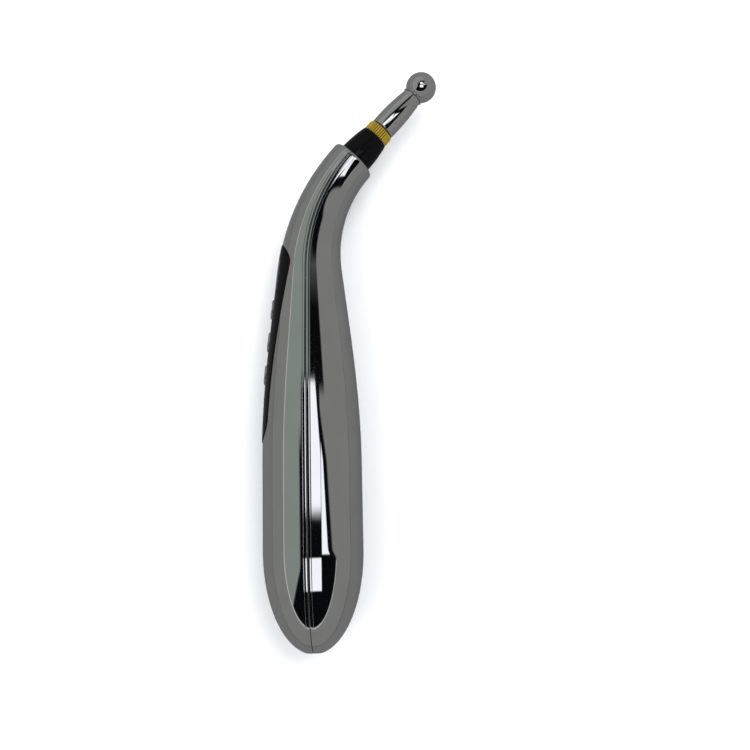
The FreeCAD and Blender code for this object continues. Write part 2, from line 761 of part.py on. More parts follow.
# Leaf from the back of the board to the plated wall of the rear shell
def return_contact():
    """Bent strip: a foot on the board, a slanted arm and a toe along the rear wall."""
    foot = BOARD_POINT + BOARD_ALONG * size("leaf_place") - BOARD_OUT * size("board_thickness")
    heel = foot - BOARD_ALONG * size("leaf_foot")
    thick = size("leaf_thickness")
    toe_y = heel.y - size("leaf_foot")
    toe_end_y = toe_y - size("leaf_foot")
    wall = size("shell_wall") + size("leaf_gap") + size("leaf_width") ** 2 / (8 * size("bulb_half_depth"))
    toe = Vector(half_width(toe_y) - wall, toe_y, 0)
    toe_end = Vector(half_width(toe_end_y) - wall, toe_end_y, 0)
    inward = BOARD_OUT * -thick
    edge = [foot, heel, toe - Vector(thick, 0, 0), toe_end - Vector(thick, 0, 0)]
    other = [toe_end, toe, heel + inward + BOARD_ALONG * thick, foot + inward]
    strip = doc.addObject("Part::Feature", "leaf_strip")
    face = Part.Face(Part.makePolygon(edge + other + [foot]))
    face.translate(Vector(0, 0, -size("leaf_width") / 2))
    strip.Shape = face.extrude(Vector(0, 0, size("leaf_width")))
    return strip


named(return_contact(), "return_contact")

# Battery
cell = turned("cell", [
    (0, 0),
    ("sizes.cell_radius", 0),
    ("sizes.cell_radius", "sizes.cell_length"),
    ("sizes.cell_button_radius", "sizes.cell_length"),
    ("sizes.cell_button_radius", "sizes.cell_length + sizes.cell_button_height"),
    (0, "sizes.cell_length + sizes.cell_button_height"),
])
named(cell, "battery_cell", along_tail(size("cell_offset"), size("cell_start")))

# Charge socket in the tail
JACK_END = size("tail_flat") + size("jack_nose_length") + size("jack_body_length")
socket = turned("socket", [
    ("sizes.jack_bore_radius", 0),
    ("sizes.jack_nose_radius", 0),
    ("sizes.jack_nose_radius", "sizes.jack_nose_length"),
    ("sizes.jack_body_radius", "sizes.jack_nose_length"),
    ("sizes.jack_body_radius", "sizes.jack_nose_length + sizes.jack_body_length"),
    (0, "sizes.jack_nose_length + sizes.jack_body_length"),
    (0, "sizes.jack_bore_depth"),
    ("sizes.jack_bore_radius", "sizes.jack_bore_depth"),
])
named(socket, "charge_socket", Placement(TAIL_FACE, TAIL_TURN))

# Leads
LEAD = size("lead_radius")
LEAD_BEND = 2 * LEAD
CHANNEL_X = -size("channel_offset")


def on_board_back(along, across):
    """Point on the back of the board."""
    return BOARD_POINT + BOARD_ALONG * along - BOARD_OUT * size("board_thickness") + Vector(0, 0, across)


def beside_board(end, x):
    """Point straight behind a point on the board's back, at a given x."""
    return end + BOARD_OUT * ((x - end.x) / BOARD_OUT.x)


def channel_lead(name, start, across):
    """Lead from a terminal behind the cell, through the channel beside it, to the foot of the board."""
    turn_y = JACK_END + 3 * LEAD
    end = on_board_back(size("board_foot") + 6 * LEAD, across)
    return lead(name, [start, Vector(start.x, turn_y, start.z), Vector(CHANNEL_X, turn_y, across),
                       beside_board(end, CHANNEL_X), end], LEAD, LEAD_BEND)


socket_wires = []
for side in (0, 1):
    start = Vector(-side * size("jack_bore_radius"), JACK_END, side * size("lead_pitch"))
    socket_wires.append(channel_lead(f"socket_wire_{side}", start, side * size("lead_pitch")))
named(group("socket_wire_group", *socket_wires), "socket_leads")

minus_pole = Vector(size("cell_offset"), size("cell_start"), -size("lead_pitch"))
minus_wire = channel_lead("minus_wire", minus_pole, -size("lead_pitch"))
plus_pole = Vector(size("cell_offset"), CELL_END, 0)
plus_end = on_board_back(size("board_foot") + 12 * LEAD, 0)
plus_corner = beside_board(plus_end, size("cell_offset"))
plus_wire = lead("plus_wire", [plus_pole, plus_corner, plus_end], LEAD, LEAD_BEND)
named(group("battery_wire_group", minus_wire, plus_wire), "battery_leads")

HEAD_LEAD = size("head_lead_radius")
STUD_FOOT = size("spigot_length") + size("stud_flange")
head_end = on_board_back(size("board_top") - 9, 0)
head_corner = head_end - BOARD_OUT * (size("board_depth") - size("board_thickness"))
neck_start = NECK_POINT - NECK_AXIS * STUD_FOOT
head_wire = lead("head_wire", [
    neck_start,
    neck_start - NECK_AXIS * 5 * HEAD_LEAD,
    head_corner + BOARD_ALONG * 9,
    head_corner,
    head_end,
], HEAD_LEAD, 2 * HEAD_LEAD)
named(head_wire, "electrode_lead")

# Collar, ring, stud, seal and head, along the neck's axis
BORE = "sizes.stud_radius + sizes.stud_fit"
DROP = "(sizes.collar_radius - sizes.collar_front_radius)"
LOCK_FLOOR = "sizes.collar_radius - sizes.lock_depth - 2 * sizes.collar_fit"
LOCK_LOW = "-sizes.lock_place - sizes.lock_width - 2 * sizes.collar_fit"
LOCK_HIGH = "-sizes.lock_place + 2 * sizes.collar_fit"
collar = turned("collar", [
    (BORE, "-sizes.spigot_length"),
    ("sizes.collar_radius", "-sizes.spigot_length"),
    ("sizes.collar_radius", LOCK_LOW),
    (LOCK_FLOOR, LOCK_LOW),
    (LOCK_FLOOR, LOCK_HIGH),
    ("sizes.collar_radius", LOCK_HIGH),
    ("sizes.collar_radius", 0),
    ("sizes.collar_front_radius", "sizes.collar_length"),
    (BORE, "sizes.collar_length"),
], {6: f"(sizes.collar_length ^ 2 + {DROP} ^ 2) / (2 * {DROP})"})
named(collar, "neck_collar", on_neck())

ring = turned("ring", [
    (BORE, 0),
    ("sizes.ring_radius - sizes.flute_depth", 0),
    ("sizes.ring_radius", "sizes.flute_depth"),
    ("sizes.ring_radius", "sizes.ring_length - sizes.flute_depth"),
    ("sizes.ring_radius - sizes.flute_depth", "sizes.ring_length"),
    (BORE, "sizes.ring_length"),
])
FLUTE_HALF = "sizes.ring_radius * 3.14159 / sizes.flute_count * 0.9"
flute = outline(ring, "ring_flute", "XY_Plane", [
    ("sizes.ring_radius - sizes.flute_depth", 0),
    ("sizes.ring_radius + sizes.flute_depth", f"-2 * {FLUTE_HALF}"),
    ("sizes.ring_radius + sizes.flute_depth", f"2 * {FLUTE_HALF}"),
])
flute_cut = ring.newObject("PartDesign::Pocket", "ring_flute_cut")
flute_cut.Profile = flute
flute_cut.Type = 1
flute_cut.Midplane = True
flutes = ring.newObject("PartDesign::PolarPattern", "ring_flutes")
flutes.Originals = [flute_cut]
flutes.Axis = (flute, ["N_Axis"])
flutes.Angle = 360
flutes.setExpression("Occurrences", "sizes.flute_count")
ring.Tip = flutes
named(ring, "contact_ring", on_neck(size("collar_length")))

STUD_TOP = "sizes.collar_length + sizes.ring_length + sizes.seal_thickness + sizes.stud_reach"
stud = turned("stud", [
    (0, "-sizes.spigot_length - sizes.stud_flange"),
    ("sizes.stud_flange_radius", "-sizes.spigot_length - sizes.stud_flange"),
    ("sizes.stud_flange_radius", "-sizes.spigot_length"),
    ("sizes.stud_radius", "-sizes.spigot_length"),
    ("sizes.stud_radius", STUD_TOP),
    (0, STUD_TOP),
])
named(stud, "electrode_stud", on_neck())

SEAL_FOOT = size("collar_length") + size("ring_length")
seal = turned("seal", [
    ("sizes.stud_radius + sizes.seal_fit", 0),
    ("sizes.seal_radius", 0),
    ("sizes.seal_radius", "sizes.seal_thickness"),
    ("sizes.stud_radius + sizes.seal_fit", "sizes.seal_thickness"),
])
named(seal, "head_seal", on_neck(SEAL_FOOT))

BALL_FOOT = "sqrt(sizes.ball_radius ^ 2 - (sizes.ball_place - sizes.head_length) ^ 2)"
BORE_TOP = "sizes.stud_reach + sizes.head_bore_spare"
head = turned("head", [
    (BORE, 0),
    ("sizes.head_base_radius", 0),
    ("sizes.head_end_radius", "sizes.head_length"),
    (BALL_FOOT, "sizes.head_length"),
    (0, "sizes.ball_place + sizes.ball_radius"),
    (0, BORE_TOP),
    (BORE, BORE_TOP),
], {1: "sizes.head_curve", 3: "sizes.ball_radius"})
named(head, "massage_head", on_neck(SEAL_FOOT + size("seal_thickness")))

# Origin under the middle of the whole object, then the finished pieces
doc.recompute()
whole = FreeCAD.BoundBox()
for piece in pieces:
    whole.add(piece.Shape.optimalBoundingBox(False, False))
shift = Placement(Vector(-whole.Center.x, -whole.Center.y, -whole.ZMin), Rotation())
for piece in pieces:
    piece.Placement = shift * piece.Placement
doc.recompute()

for item in doc.Objects:
    if "Invalid" in item.State or "Error" in item.State:
        raise RuntimeError(f"{item.Name} did not build: {item.State}")
os.makedirs("parts", exist_ok=True)
for piece in pieces:
    shape = piece.Shape
    if shape.isNull() or not shape.isValid() or shape.Volume <= 0:
        raise RuntimeError(f"{piece.Label} is not a sound solid")
    shape.exportStep(f"parts/{piece.Label}.step")
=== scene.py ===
"""Electric massager: smooth plated shells, gloss panel, ring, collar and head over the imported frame."""
import math
import bmesh
import bpy
import numpy as np
from mathutils import Matrix, Vector


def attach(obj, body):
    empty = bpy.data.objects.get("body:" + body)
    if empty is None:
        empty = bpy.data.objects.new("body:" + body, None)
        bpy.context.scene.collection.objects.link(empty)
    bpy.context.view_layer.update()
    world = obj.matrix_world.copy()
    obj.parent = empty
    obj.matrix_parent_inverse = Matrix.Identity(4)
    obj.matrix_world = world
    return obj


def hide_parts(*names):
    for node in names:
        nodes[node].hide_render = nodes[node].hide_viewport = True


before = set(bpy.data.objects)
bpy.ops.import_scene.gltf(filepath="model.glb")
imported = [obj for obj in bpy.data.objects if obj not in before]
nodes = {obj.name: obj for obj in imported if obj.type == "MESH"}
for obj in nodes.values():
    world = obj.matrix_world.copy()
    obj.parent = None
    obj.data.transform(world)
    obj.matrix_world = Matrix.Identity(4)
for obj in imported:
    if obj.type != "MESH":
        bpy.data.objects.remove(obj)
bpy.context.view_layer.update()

# Sizes in millimetres, about a datum at the tail: centreline along Y, level plane at z = 0
MM = 1000.0  # in a metre
BULB_WIDTH, BULB_DEPTH, NECK = 18.9, 16.0, 9.2
TAIL, BULB_END, STRAIGHT = 38.0, 70.0, 144.5
LOWER_R, LOWER_A = 70.0, math.radians(16.5)
UPPER_R, UPPER_A = 66.0, math.radians(27.0)
TAIL_FLAT, NECK_ROUND = 0.55, 1.2
GAP, LAND, STEP = 0.1, 1.3, 0.25
LOWER_S = STRAIGHT + LOWER_R * LOWER_A
NECK_S = LOWER_S + UPPER_R * UPPER_A
HEADING = LOWER_A + UPPER_A
LOWER_C = np.array((LOWER_R, STRAIGHT))
JOIN = LOWER_C + LOWER_R * np.array((-math.cos(LOWER_A), math.sin(LOWER_A)))
UPPER_C = JOIN + UPPER_R * np.array((math.cos(LOWER_A), -math.sin(LOWER_A)))
NECK_P = np.append(UPPER_C + UPPER_R * np.array((-math.cos(HEADING), math.sin(HEADING))), 0.0)
NECK_AXIS = np.array((math.sin(HEADING), math.cos(HEADING), 0.0))
NECK_SIDE = np.array((math.cos(HEADING), -math.sin(HEADING), 0.0))
BOARD_TILT, BOARD_Y, BOARD_DEPTH = math.radians(5.0), 110.0, 8.5
PANEL_TOP, PANEL_TOP_R, PANEL_FOOT, PANEL_FOOT_R = 36.3, 9.8, -24.0, 8.6
WINDOW, WINDOW_L, WINDOW_W, WINDOW_CORNER = 33.5, 13.0, 10.5, 1.6
BUTTONS = {"minus": -6.0, "plus": 7.0, "power": 20.0}
BUTTON_R, BUTTON_RISE, BUTTON_DISH, BUTTON_EDGE = 3.9, 0.9, 0.25, 0.45
PANEL_PROUD, PANEL_FIT, PANEL_EDGE, BUTTON_FIT = 0.3, 0.1, 0.5, 0.15
PANEL_SKIRT, BUTTON_FOOT = 0.45, 3.0
NECK_BORE, TAIL_HOLE, BORE_DEPTH = 6.95, 2.0, 3.0


def tail_datum():
    """Datum in the frame, from the charge socket: it lies on the centreline and ends flush with the tail."""
    socket = nodes["charge_socket"]
    points = np.array([socket.matrix_world @ vertex.co for vertex in socket.data.vertices]) * MM
    low, high = points.min(axis=0), points.max(axis=0)
    middle = (low + high) / 2
    return np.array((middle[0], low[1] - TAIL_FLAT, middle[2]))


DATUM = tail_datum()


# The handle's skin
def centreline(s):
    """Place and heading of the centreline at distances from the tail."""
    s = np.asarray(s, float)
    lower = (s - STRAIGHT) / LOWER_R
    upper = LOWER_A + (np.minimum(s, NECK_S) - LOWER_S) / UPPER_R
    heading = np.where(s <= STRAIGHT, 0.0, np.where(s <= LOWER_S, lower, upper))
    past = np.maximum(s - NECK_S, 0.0)
    upper_x = UPPER_C[0] - UPPER_R * np.cos(heading) + past * math.sin(HEADING)
    upper_y = UPPER_C[1] + UPPER_R * np.sin(heading) + past * math.cos(HEADING)
    straight, low = s <= STRAIGHT, s <= LOWER_S
    x = np.where(straight, 0.0, np.where(low, LOWER_C[0] - LOWER_R * np.cos(heading), upper_x))
    y = np.where(straight, s, np.where(low, LOWER_C[1] + LOWER_R * np.sin(heading), upper_y))
    return x, y, heading


def girth(s, inset=0.0):
    """Half width and half depth of the skin at distances from the tail."""
    s = np.asarray(s, float)
    run = np.clip((s - BULB_END) / (NECK_S - BULB_END), 0.0, 1.0)
    share = (1 + np.cos(np.pi * run)) / 2
    back = np.clip((TAIL - s) / (TAIL - inset), 0.0, 1.0)
    dome = np.sqrt(1 - back ** 2)
    end = np.clip((s - NECK_S + NECK_ROUND) / NECK_ROUND, 0.0, 1.0)
    lost = NECK_ROUND * (1 - np.sqrt(1 - end ** 2)) + inset
    half_width = (NECK + (BULB_WIDTH - NECK) * share - lost) * dome
    half_depth = (NECK + (BULB_DEPTH - NECK) * share - lost) * dome
    return half_width, half_depth


def at(s, across, z):
    """Points at distances along, across and above the centreline."""
    x, y, heading = centreline(s)
    return np.stack(np.broadcast_arrays(x + across * np.cos(heading), y - across * np.sin(heading), z), -1)


def along_of(points):
    """Distance along the centreline of the place nearest to each point, and the offset across it."""
    x, y = points[..., 0], points[..., 1]
    lower = np.arctan2(y - LOWER_C[1], LOWER_C[0] - x)
    upper = np.arctan2(y - UPPER_C[1], UPPER_C[0] - x)
    lower_across = LOWER_R - np.hypot(x - LOWER_C[0], y - LOWER_C[1])
    upper_across = UPPER_R - np.hypot(x - UPPER_C[0], y - UPPER_C[1])
    straight, low = y <= STRAIGHT, lower <= LOWER_A
    lower_s, upper_s = STRAIGHT + lower * LOWER_R, LOWER_S + (upper - LOWER_A) * UPPER_R
    s = np.where(straight, y, np.where(low, lower_s, upper_s))
    across = np.where(straight, x, np.where(low, lower_across, upper_across))
    return s, across


# The board's frame, in which the panel, window and buttons are laid out
ALONG = np.array((math.sin(BOARD_TILT), math.cos(BOARD_TILT), 0.0))
ACROSS = np.array((0.0, 0.0, -1.0))
OUT = np.array((-math.cos(BOARD_TILT), math.sin(BOARD_TILT), 0.0))
BOARD_P = np.array((BOARD_DEPTH - girth(BOARD_Y)[0], BOARD_Y, 0.0))


def on_board(a, v, h):
    """Points from places along and across the board and heights above it."""
    a, v, h = np.broadcast_arrays(a, v, h)
    return BOARD_P + a[..., None] * ALONG + v[..., None] * ACROSS + h[..., None] * OUT


def rise(a, v, inset):
    """Height above the board of the skin, moved in by an inset, over places on it; found by halving."""
    highest, halvings = 16.0, 44
    a, v = np.broadcast_arrays(np.asarray(a, float), np.asarray(v, float))
    low, high = np.zeros(a.shape), np.full(a.shape, highest)
    for _ in range(halvings):
        middle = (low + high) / 2
        points = on_board(a, v, middle)
        s, across = along_of(points)
        w, t = girth(s, inset)
        inside = (across / w) ** 2 + (points[..., 2] / t) ** 2 < 1
        low, high = np.where(inside, middle, low), np.where(inside, high, middle)
    return low


# Meshes
def placed(origin, *axes):
    """Matrix from millimetres in a frame on the handle to metres in the scene."""
    rows = [[axis[i] / MM for axis in axes] + [(origin[i] + DATUM[i]) / MM] for i in range(3)]
    return Matrix(rows + [[0.0, 0.0, 0.0, 1.0]])


UP = np.array((0.0, 0.0, 1.0))
HANDLE_PLACE = placed((0.0, 0.0, 0.0), (1.0, 0.0, 0.0), (0.0, 1.0, 0.0), UP)
NECK_PLACE = placed(NECK_P, NECK_SIDE, -UP, NECK_AXIS)


def mesh_of(name, verts, faces):
    """Plain mesh from points and faces."""
    mesh = bpy.data.meshes.new(name)
    mesh.from_pydata(np.asarray(verts).tolist(), [], [list(map(int, f)) for f in faces])
    mesh.validate()
    return mesh


def show(name, mesh, place, body, stands_for=(), sharp=32.0):
    """A finished mesh in millimetres, set at its place and riding on a body."""
    mesh.transform(place)
    work = bmesh.new()
    work.from_mesh(mesh)
    bmesh.ops.remove_doubles(work, verts=work.verts, dist=1e-7)
    bmesh.ops.recalc_face_normals(work, faces=work.faces)
    work.to_mesh(mesh)
    work.free()
    mesh.polygons.foreach_set("use_smooth", [True] * len(mesh.polygons))
    mesh.set_sharp_from_angle(angle=math.radians(sharp))
    obj = bpy.data.objects.new(name, mesh)
    bpy.context.collection.objects.link(obj)
    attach(obj, body)
    if stands_for:
        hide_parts(*stands_for)


def piece(name, verts, faces, material, body, slot, stands_for=(), place=HANDLE_PLACE):
    """A mesh from points in millimetres, in its material, riding on a body."""
    mesh = mesh_of(name, verts, faces)
    mesh.materials.append(material)
    show(name, mesh, place, body, stands_for)


def grid_faces(rows, columns, closed=False):
    """Quads of a grid of points, closed round its columns or not."""
    faces = []
    for row in range(rows - 1):
        for column in range(columns - (0 if closed else 1)):
            after = (column + 1) % columns
            faces.append((row * columns + column, row * columns + after,
                          (row + 1) * columns + after, (row + 1) * columns + column))
    return faces


def rounded(points, radii, steps=5):
    """A profile of (radius, height) corners with arcs of the given radii at its corners."""
    points = [np.array(p, float) for p in points]
    path = []
    for i, (point, radius) in enumerate(zip(points, radii)):
        if radius == 0 or i in (0, len(points) - 1):
            path.append(point)
            continue
        back = points[i - 1] - point
        onward = points[i + 1] - point
        back, onward = back / np.linalg.norm(back), onward / np.linalg.norm(onward)
        half = math.acos(np.clip(back @ onward, -1, 1)) / 2
        reach = radius / math.tan(half)
        centre = point + (back + onward) / np.linalg.norm(back + onward) * radius / math.sin(half)
        first, last = point + back * reach - centre, point + onward * reach - centre
        turn = math.atan2(first[0] * last[1] - first[1] * last[0], first @ last)
        for k in range(steps + 1):
            angle = turn * k / steps
            path.append(centre + np.array((first[0] * math.cos(angle) - first[1] * math.sin(angle),
                                           first[0] * math.sin(angle) + first[1] * math.cos(angle))))
    return np.array(path)


def lathe(profile, base, segments=144):
    """Points and faces of a profile of (radius, height) spun round Z, standing on a base height."""
    angle = np.arange(segments) / segments * 2 * np.pi
    radius, height = profile[:, 0][:, None], profile[:, 1][:, None] + base
    points = np.stack(np.broadcast_arrays(radius * np.cos(angle), radius * np.sin(angle), height), -1)
    return points.reshape(-1, 3), grid_faces(len(profile), segments, closed=True)


# Node helpers and geometry trees
def add(tree, kind, inputs=None, **settings):
    """A node with its settings and its inputs, each a value or another node's output."""
    node = tree.nodes.new(kind)
    for key, setting in settings.items():
        setattr(node, key, setting)
    for key, value in (inputs or {}).items():
        if isinstance(value, bpy.types.NodeSocket):
            tree.links.new(value, node.inputs[key])
        else:
            node.inputs[key].default_value = value
    return node


def calc(tree, operation, first, second=0.0):
    """Output of a math node."""
    return add(tree, "ShaderNodeMath", {0: first, 1: second}, operation=operation).outputs["Value"]


def share_of(tree, value, low, high):
    """Share of the way from low to high, held between 0 and 1; low may be the larger."""
    way = add(tree, "ShaderNodeMapRange", {"Value": value, "From Min": low, "From Max": high})
    return way.outputs["Result"]


def geometry_tree(name, inputs):
    """A geometry tree with named inputs; returns it with its input and output nodes."""
    tree = bpy.data.node_groups.new(name, "GeometryNodeTree")
    tree.interface.new_socket("Geometry", in_out="INPUT", socket_type="NodeSocketGeometry")
    for label, kind in inputs:
        tree.interface.new_socket(label, in_out="INPUT", socket_type=kind)
    tree.interface.new_socket("Material", in_out="INPUT", socket_type="NodeSocketMaterial")
    tree.interface.new_socket("Geometry", in_out="OUTPUT", socket_type="NodeSocketGeometry")
    return tree, tree.nodes.new("NodeGroupInput").outputs, tree.nodes.new("NodeGroupOutput").inputs


def end_tree(tree, given, result, geometry):
    """Close a tree: instances made real, then the material."""
    real = add(tree, "GeometryNodeRealizeInstances", {"Geometry": geometry}).outputs["Geometry"]
    dressed = add(tree, "GeometryNodeSetMaterial", {"Geometry": real, "Material": given["Material"]})
    tree.links.new(dressed.outputs["Geometry"], result["Geometry"])
    return tree


def fluted_tree():
    """Flutes along a turned ring about Z, running out at its rims; their depth is kept as an attribute,
    which also sets the painted shade in the grooves.
    """
    ridge_edge, floor_edge = 5 / 6, 1 / 6  # as shares of half a pitch, from the middle of the groove
    tree, given, result = geometry_tree("fluted_ring", [
        ("Count", "NodeSocketFloat"), ("Depth", "NodeSocketFloat"), ("Rim Radius", "NodeSocketFloat"),
        ("Run Out", "NodeSocketFloat"),
    ])
    position = add(tree, "GeometryNodeInputPosition").outputs["Position"]
    spot = add(tree, "ShaderNodeSeparateXYZ", {"Vector": position}).outputs
    turns = calc(tree, "DIVIDE", calc(tree, "ARCTAN2", spot["Y"], spot["X"]), 2 * math.pi)
    phase = calc(tree, "FRACT", calc(tree, "MULTIPLY", turns, given["Count"]))
    from_groove = calc(tree, "MULTIPLY", calc(tree, "ABSOLUTE", calc(tree, "SUBTRACT", phase, 0.5)), 2.0)
    groove = share_of(tree, from_groove, ridge_edge, floor_edge)
    level = add(tree, "ShaderNodeCombineXYZ", {"X": spot["X"], "Y": spot["Y"]}).outputs["Vector"]
    radius = add(tree, "ShaderNodeVectorMath", {0: level}, operation="LENGTH").outputs["Value"]
    full = calc(tree, "ADD", given["Rim Radius"], given["Run Out"])
    share = calc(tree, "MULTIPLY", groove, share_of(tree, radius, given["Rim Radius"], full))
    marked = add(tree, "GeometryNodeStoreNamedAttribute",
                 {"Geometry": given["Geometry"], "Name": "groove", "Value": share})
    outward = add(tree, "ShaderNodeVectorMath", {0: level}, operation="NORMALIZE").outputs["Vector"]
    sunk = calc(tree, "MULTIPLY", calc(tree, "MULTIPLY", share, given["Depth"]), -1.0)
    offset = add(tree, "ShaderNodeVectorMath", {0: outward, "Scale": sunk}, operation="SCALE")
    cut = add(tree, "GeometryNodeSetPosition",
              {"Geometry": marked.outputs["Geometry"], "Offset": offset.outputs["Vector"]})
    return end_tree(tree, given, result, cut.outputs["Geometry"])


def thread_tree():
    """A thread wound on a turned stud about Z."""
    tree, given, result = geometry_tree("stud_thread", [
        ("Start", "NodeSocketFloat"), ("Length", "NodeSocketFloat"), ("Pitch", "NodeSocketFloat"),
        ("Radius", "NodeSocketFloat"), ("Ridge", "NodeSocketFloat"),
    ])
    coil = add(tree, "GeometryNodeCurveSpiral", {
        "Resolution": 48, "Rotations": calc(tree, "DIVIDE", given["Length"], given["Pitch"]),
        "Start Radius": given["Radius"], "End Radius": given["Radius"], "Height": given["Length"]})
    upright = add(tree, "GeometryNodeSetCurveNormal", {"Curve": coil.outputs["Curve"]}, mode="Z_UP")
    half = calc(tree, "MULTIPLY", given["Ridge"], 0.5)
    ridge = add(tree, "GeometryNodeCurvePrimitiveQuadrilateral",
                {"Width": given["Ridge"], "Bottom Height": half, "Top Height": half}, mode="KITE")
    wound = add(tree, "GeometryNodeCurveToMesh", {
        "Curve": upright.outputs["Curve"], "Profile Curve": ridge.outputs["Curve"], "Fill Caps": True})
    start = add(tree, "ShaderNodeCombineXYZ", {"Z": given["Start"]}).outputs["Vector"]
    lifted = add(tree, "GeometryNodeTransform", {"Geometry": wound.outputs["Mesh"], "Translation": start})
    both = add(tree, "GeometryNodeJoinGeometry", {"Geometry": given["Geometry"]})
    tree.links.new(lifted.outputs["Geometry"], both.inputs["Geometry"])
    return end_tree(tree, given, result, both.outputs["Geometry"])


def level_tree():
    """A row of level bars across Y, each longer along X than the last."""
    tree, given, result = geometry_tree("level_bars", [
        ("Count", "NodeSocketInt"), ("Spacing", "NodeSocketFloat"), ("Width", "NodeSocketFloat"),
        ("Shortest", "NodeSocketFloat"), ("Growth", "NodeSocketFloat"), ("Thickness", "NodeSocketFloat"),
    ])
    span = calc(tree, "MULTIPLY", calc(tree, "SUBTRACT", given["Count"], 1.0), given["Spacing"])
    start = add(tree, "ShaderNodeCombineXYZ", {"Y": calc(tree, "MULTIPLY", span, -0.5)}).outputs["Vector"]
    step = add(tree, "ShaderNodeCombineXYZ", {"Y": given["Spacing"]}).outputs["Vector"]
    row = add(tree, "GeometryNodeMeshLine",
              {"Count": given["Count"], "Start Location": start, "Offset": step})
    block = add(tree, "GeometryNodeMeshCube", {"Size": (1.0, 1.0, 1.0)})
    standing = add(tree, "GeometryNodeTransform",
                   {"Geometry": block.outputs["Mesh"], "Translation": (0.5, 0.0, 0.5)})
    growth = calc(tree, "MULTIPLY", add(tree, "GeometryNodeInputIndex").outputs["Index"], given["Growth"])
    length = calc(tree, "ADD", given["Shortest"], growth)
    size = add(tree, "ShaderNodeCombineXYZ", {"X": length, "Y": given["Width"], "Z": given["Thickness"]})
    bars = add(tree, "GeometryNodeInstanceOnPoints", {
        "Points": row.outputs["Mesh"], "Scale": size.outputs["Vector"],
        "Instance": standing.outputs["Geometry"]})
    return end_tree(tree, given, result, bars.outputs["Instances"])


def grown(name, tree, material, values, start=None):
    """Plain mesh that a tree makes from a starting mesh, or from nothing."""
    obj = bpy.data.objects.new(name, start or bpy.data.meshes.new(name))
    bpy.context.collection.objects.link(obj)
    shape = obj.modifiers.new("shape", "NODES")
    shape.node_group = tree
    for item in tree.interface.items_tree:
        if item.in_out == "INPUT" and item.socket_type != "NodeSocketGeometry":
            shape[item.identifier] = material if item.name == "Material" else values[item.name]
    mesh = bpy.data.meshes.new_from_object(obj.evaluated_get(bpy.context.evaluated_depsgraph_get()))
    obj.modifiers.remove(shape)
    bpy.data.objects.remove(obj)
    return mesh


# Shared shader groups
def shader_group(name, inputs, outputs):
    """An empty shader group with named sockets; returns it with its input and output nodes."""
    tree = bpy.data.node_groups.new(name, "ShaderNodeTree")
    for label, kind, default in inputs:
        socket = tree.interface.new_socket(label, in_out="INPUT", socket_type=kind)
        socket.default_value = default
    for label, kind in outputs:
        tree.interface.new_socket(label, in_out="OUTPUT", socket_type=kind)
    return tree, tree.nodes.new("NodeGroupInput"), tree.nodes.new("NodeGroupOutput")


def handling_group():
    """Faint finger haze and hair scratches, as a value to add to a roughness."""
    tree, given, result = shader_group("handling", [
        ("Patch Size", "NodeSocketFloat", 60.0), ("Haze", "NodeSocketFloat", 0.05),
        ("Scratches", "NodeSocketFloat", 0.03),
    ], [("Roughness", "NodeSocketFloat")])
    place = add(tree, "ShaderNodeTexCoord").outputs["Object"]
    cloud = add(tree, "ShaderNodeTexNoise", {
        "Vector": place, "Scale": given.outputs["Patch Size"], "Detail": 4.0, "Roughness": 0.6})
    haze = add(tree, "ShaderNodeMapRange", {
        "Value": cloud.outputs["Fac"], "From Min": 0.48, "From Max": 0.72,
        "To Max": given.outputs["Haze"]}, interpolation_type="SMOOTHSTEP")
    drawn = add(tree, "ShaderNodeMapping", {
        "Vector": place, "Rotation": (0.0, 0.0, 0.35), "Scale": (2600.0, 60.0, 2600.0)})
    hair = add(tree, "ShaderNodeTexNoise", {"Vector": drawn.outputs["Vector"], "Scale": 1.0, "Detail": 2.0})
    lines = add(tree, "ShaderNodeMapRange", {
        "Value": hair.outputs["Fac"], "From Min": 0.66, "From Max": 0.78,
        "To Max": given.outputs["Scratches"]})
    total = calc(tree, "ADD", haze.outputs["Result"], lines.outputs["Result"])
    tree.links.new(total, result.inputs["Roughness"])
    return tree


def moulding_group():
    """Fine grain and slow cloudiness of a moulded or plated surface, as a normal and a tone."""
    tree, given, result = shader_group("moulding", [
        ("Grain", "NodeSocketFloat", 900.0), ("Depth", "NodeSocketFloat", 0.05),
        ("Tone", "NodeSocketFloat", 0.1),
    ], [("Normal", "NodeSocketVector"), ("Shade", "NodeSocketFloat")])
    place = add(tree, "ShaderNodeTexCoord").outputs["Object"]
    grain = add(tree, "ShaderNodeTexNoise", {
        "Vector": place, "Scale": given.outputs["Grain"], "Detail": 3.0})
    bump = add(tree, "ShaderNodeBump", {
        "Strength": given.outputs["Depth"], "Distance": 0.0002, "Height": grain.outputs["Fac"]})
    cloud = add(tree, "ShaderNodeTexNoise", {"Vector": place, "Scale": 90.0, "Detail": 3.0})
    shade = add(tree, "ShaderNodeMapRange", {
        "Value": cloud.outputs["Fac"], "From Min": 0.3, "From Max": 0.7,
        "To Min": calc(tree, "SUBTRACT", 1.0, given.outputs["Tone"]), "To Max": 1.0})
    tree.links.new(bump.outputs["Normal"], result.inputs["Normal"])
    tree.links.new(shade.outputs["Result"], result.inputs["Shade"])
    return tree


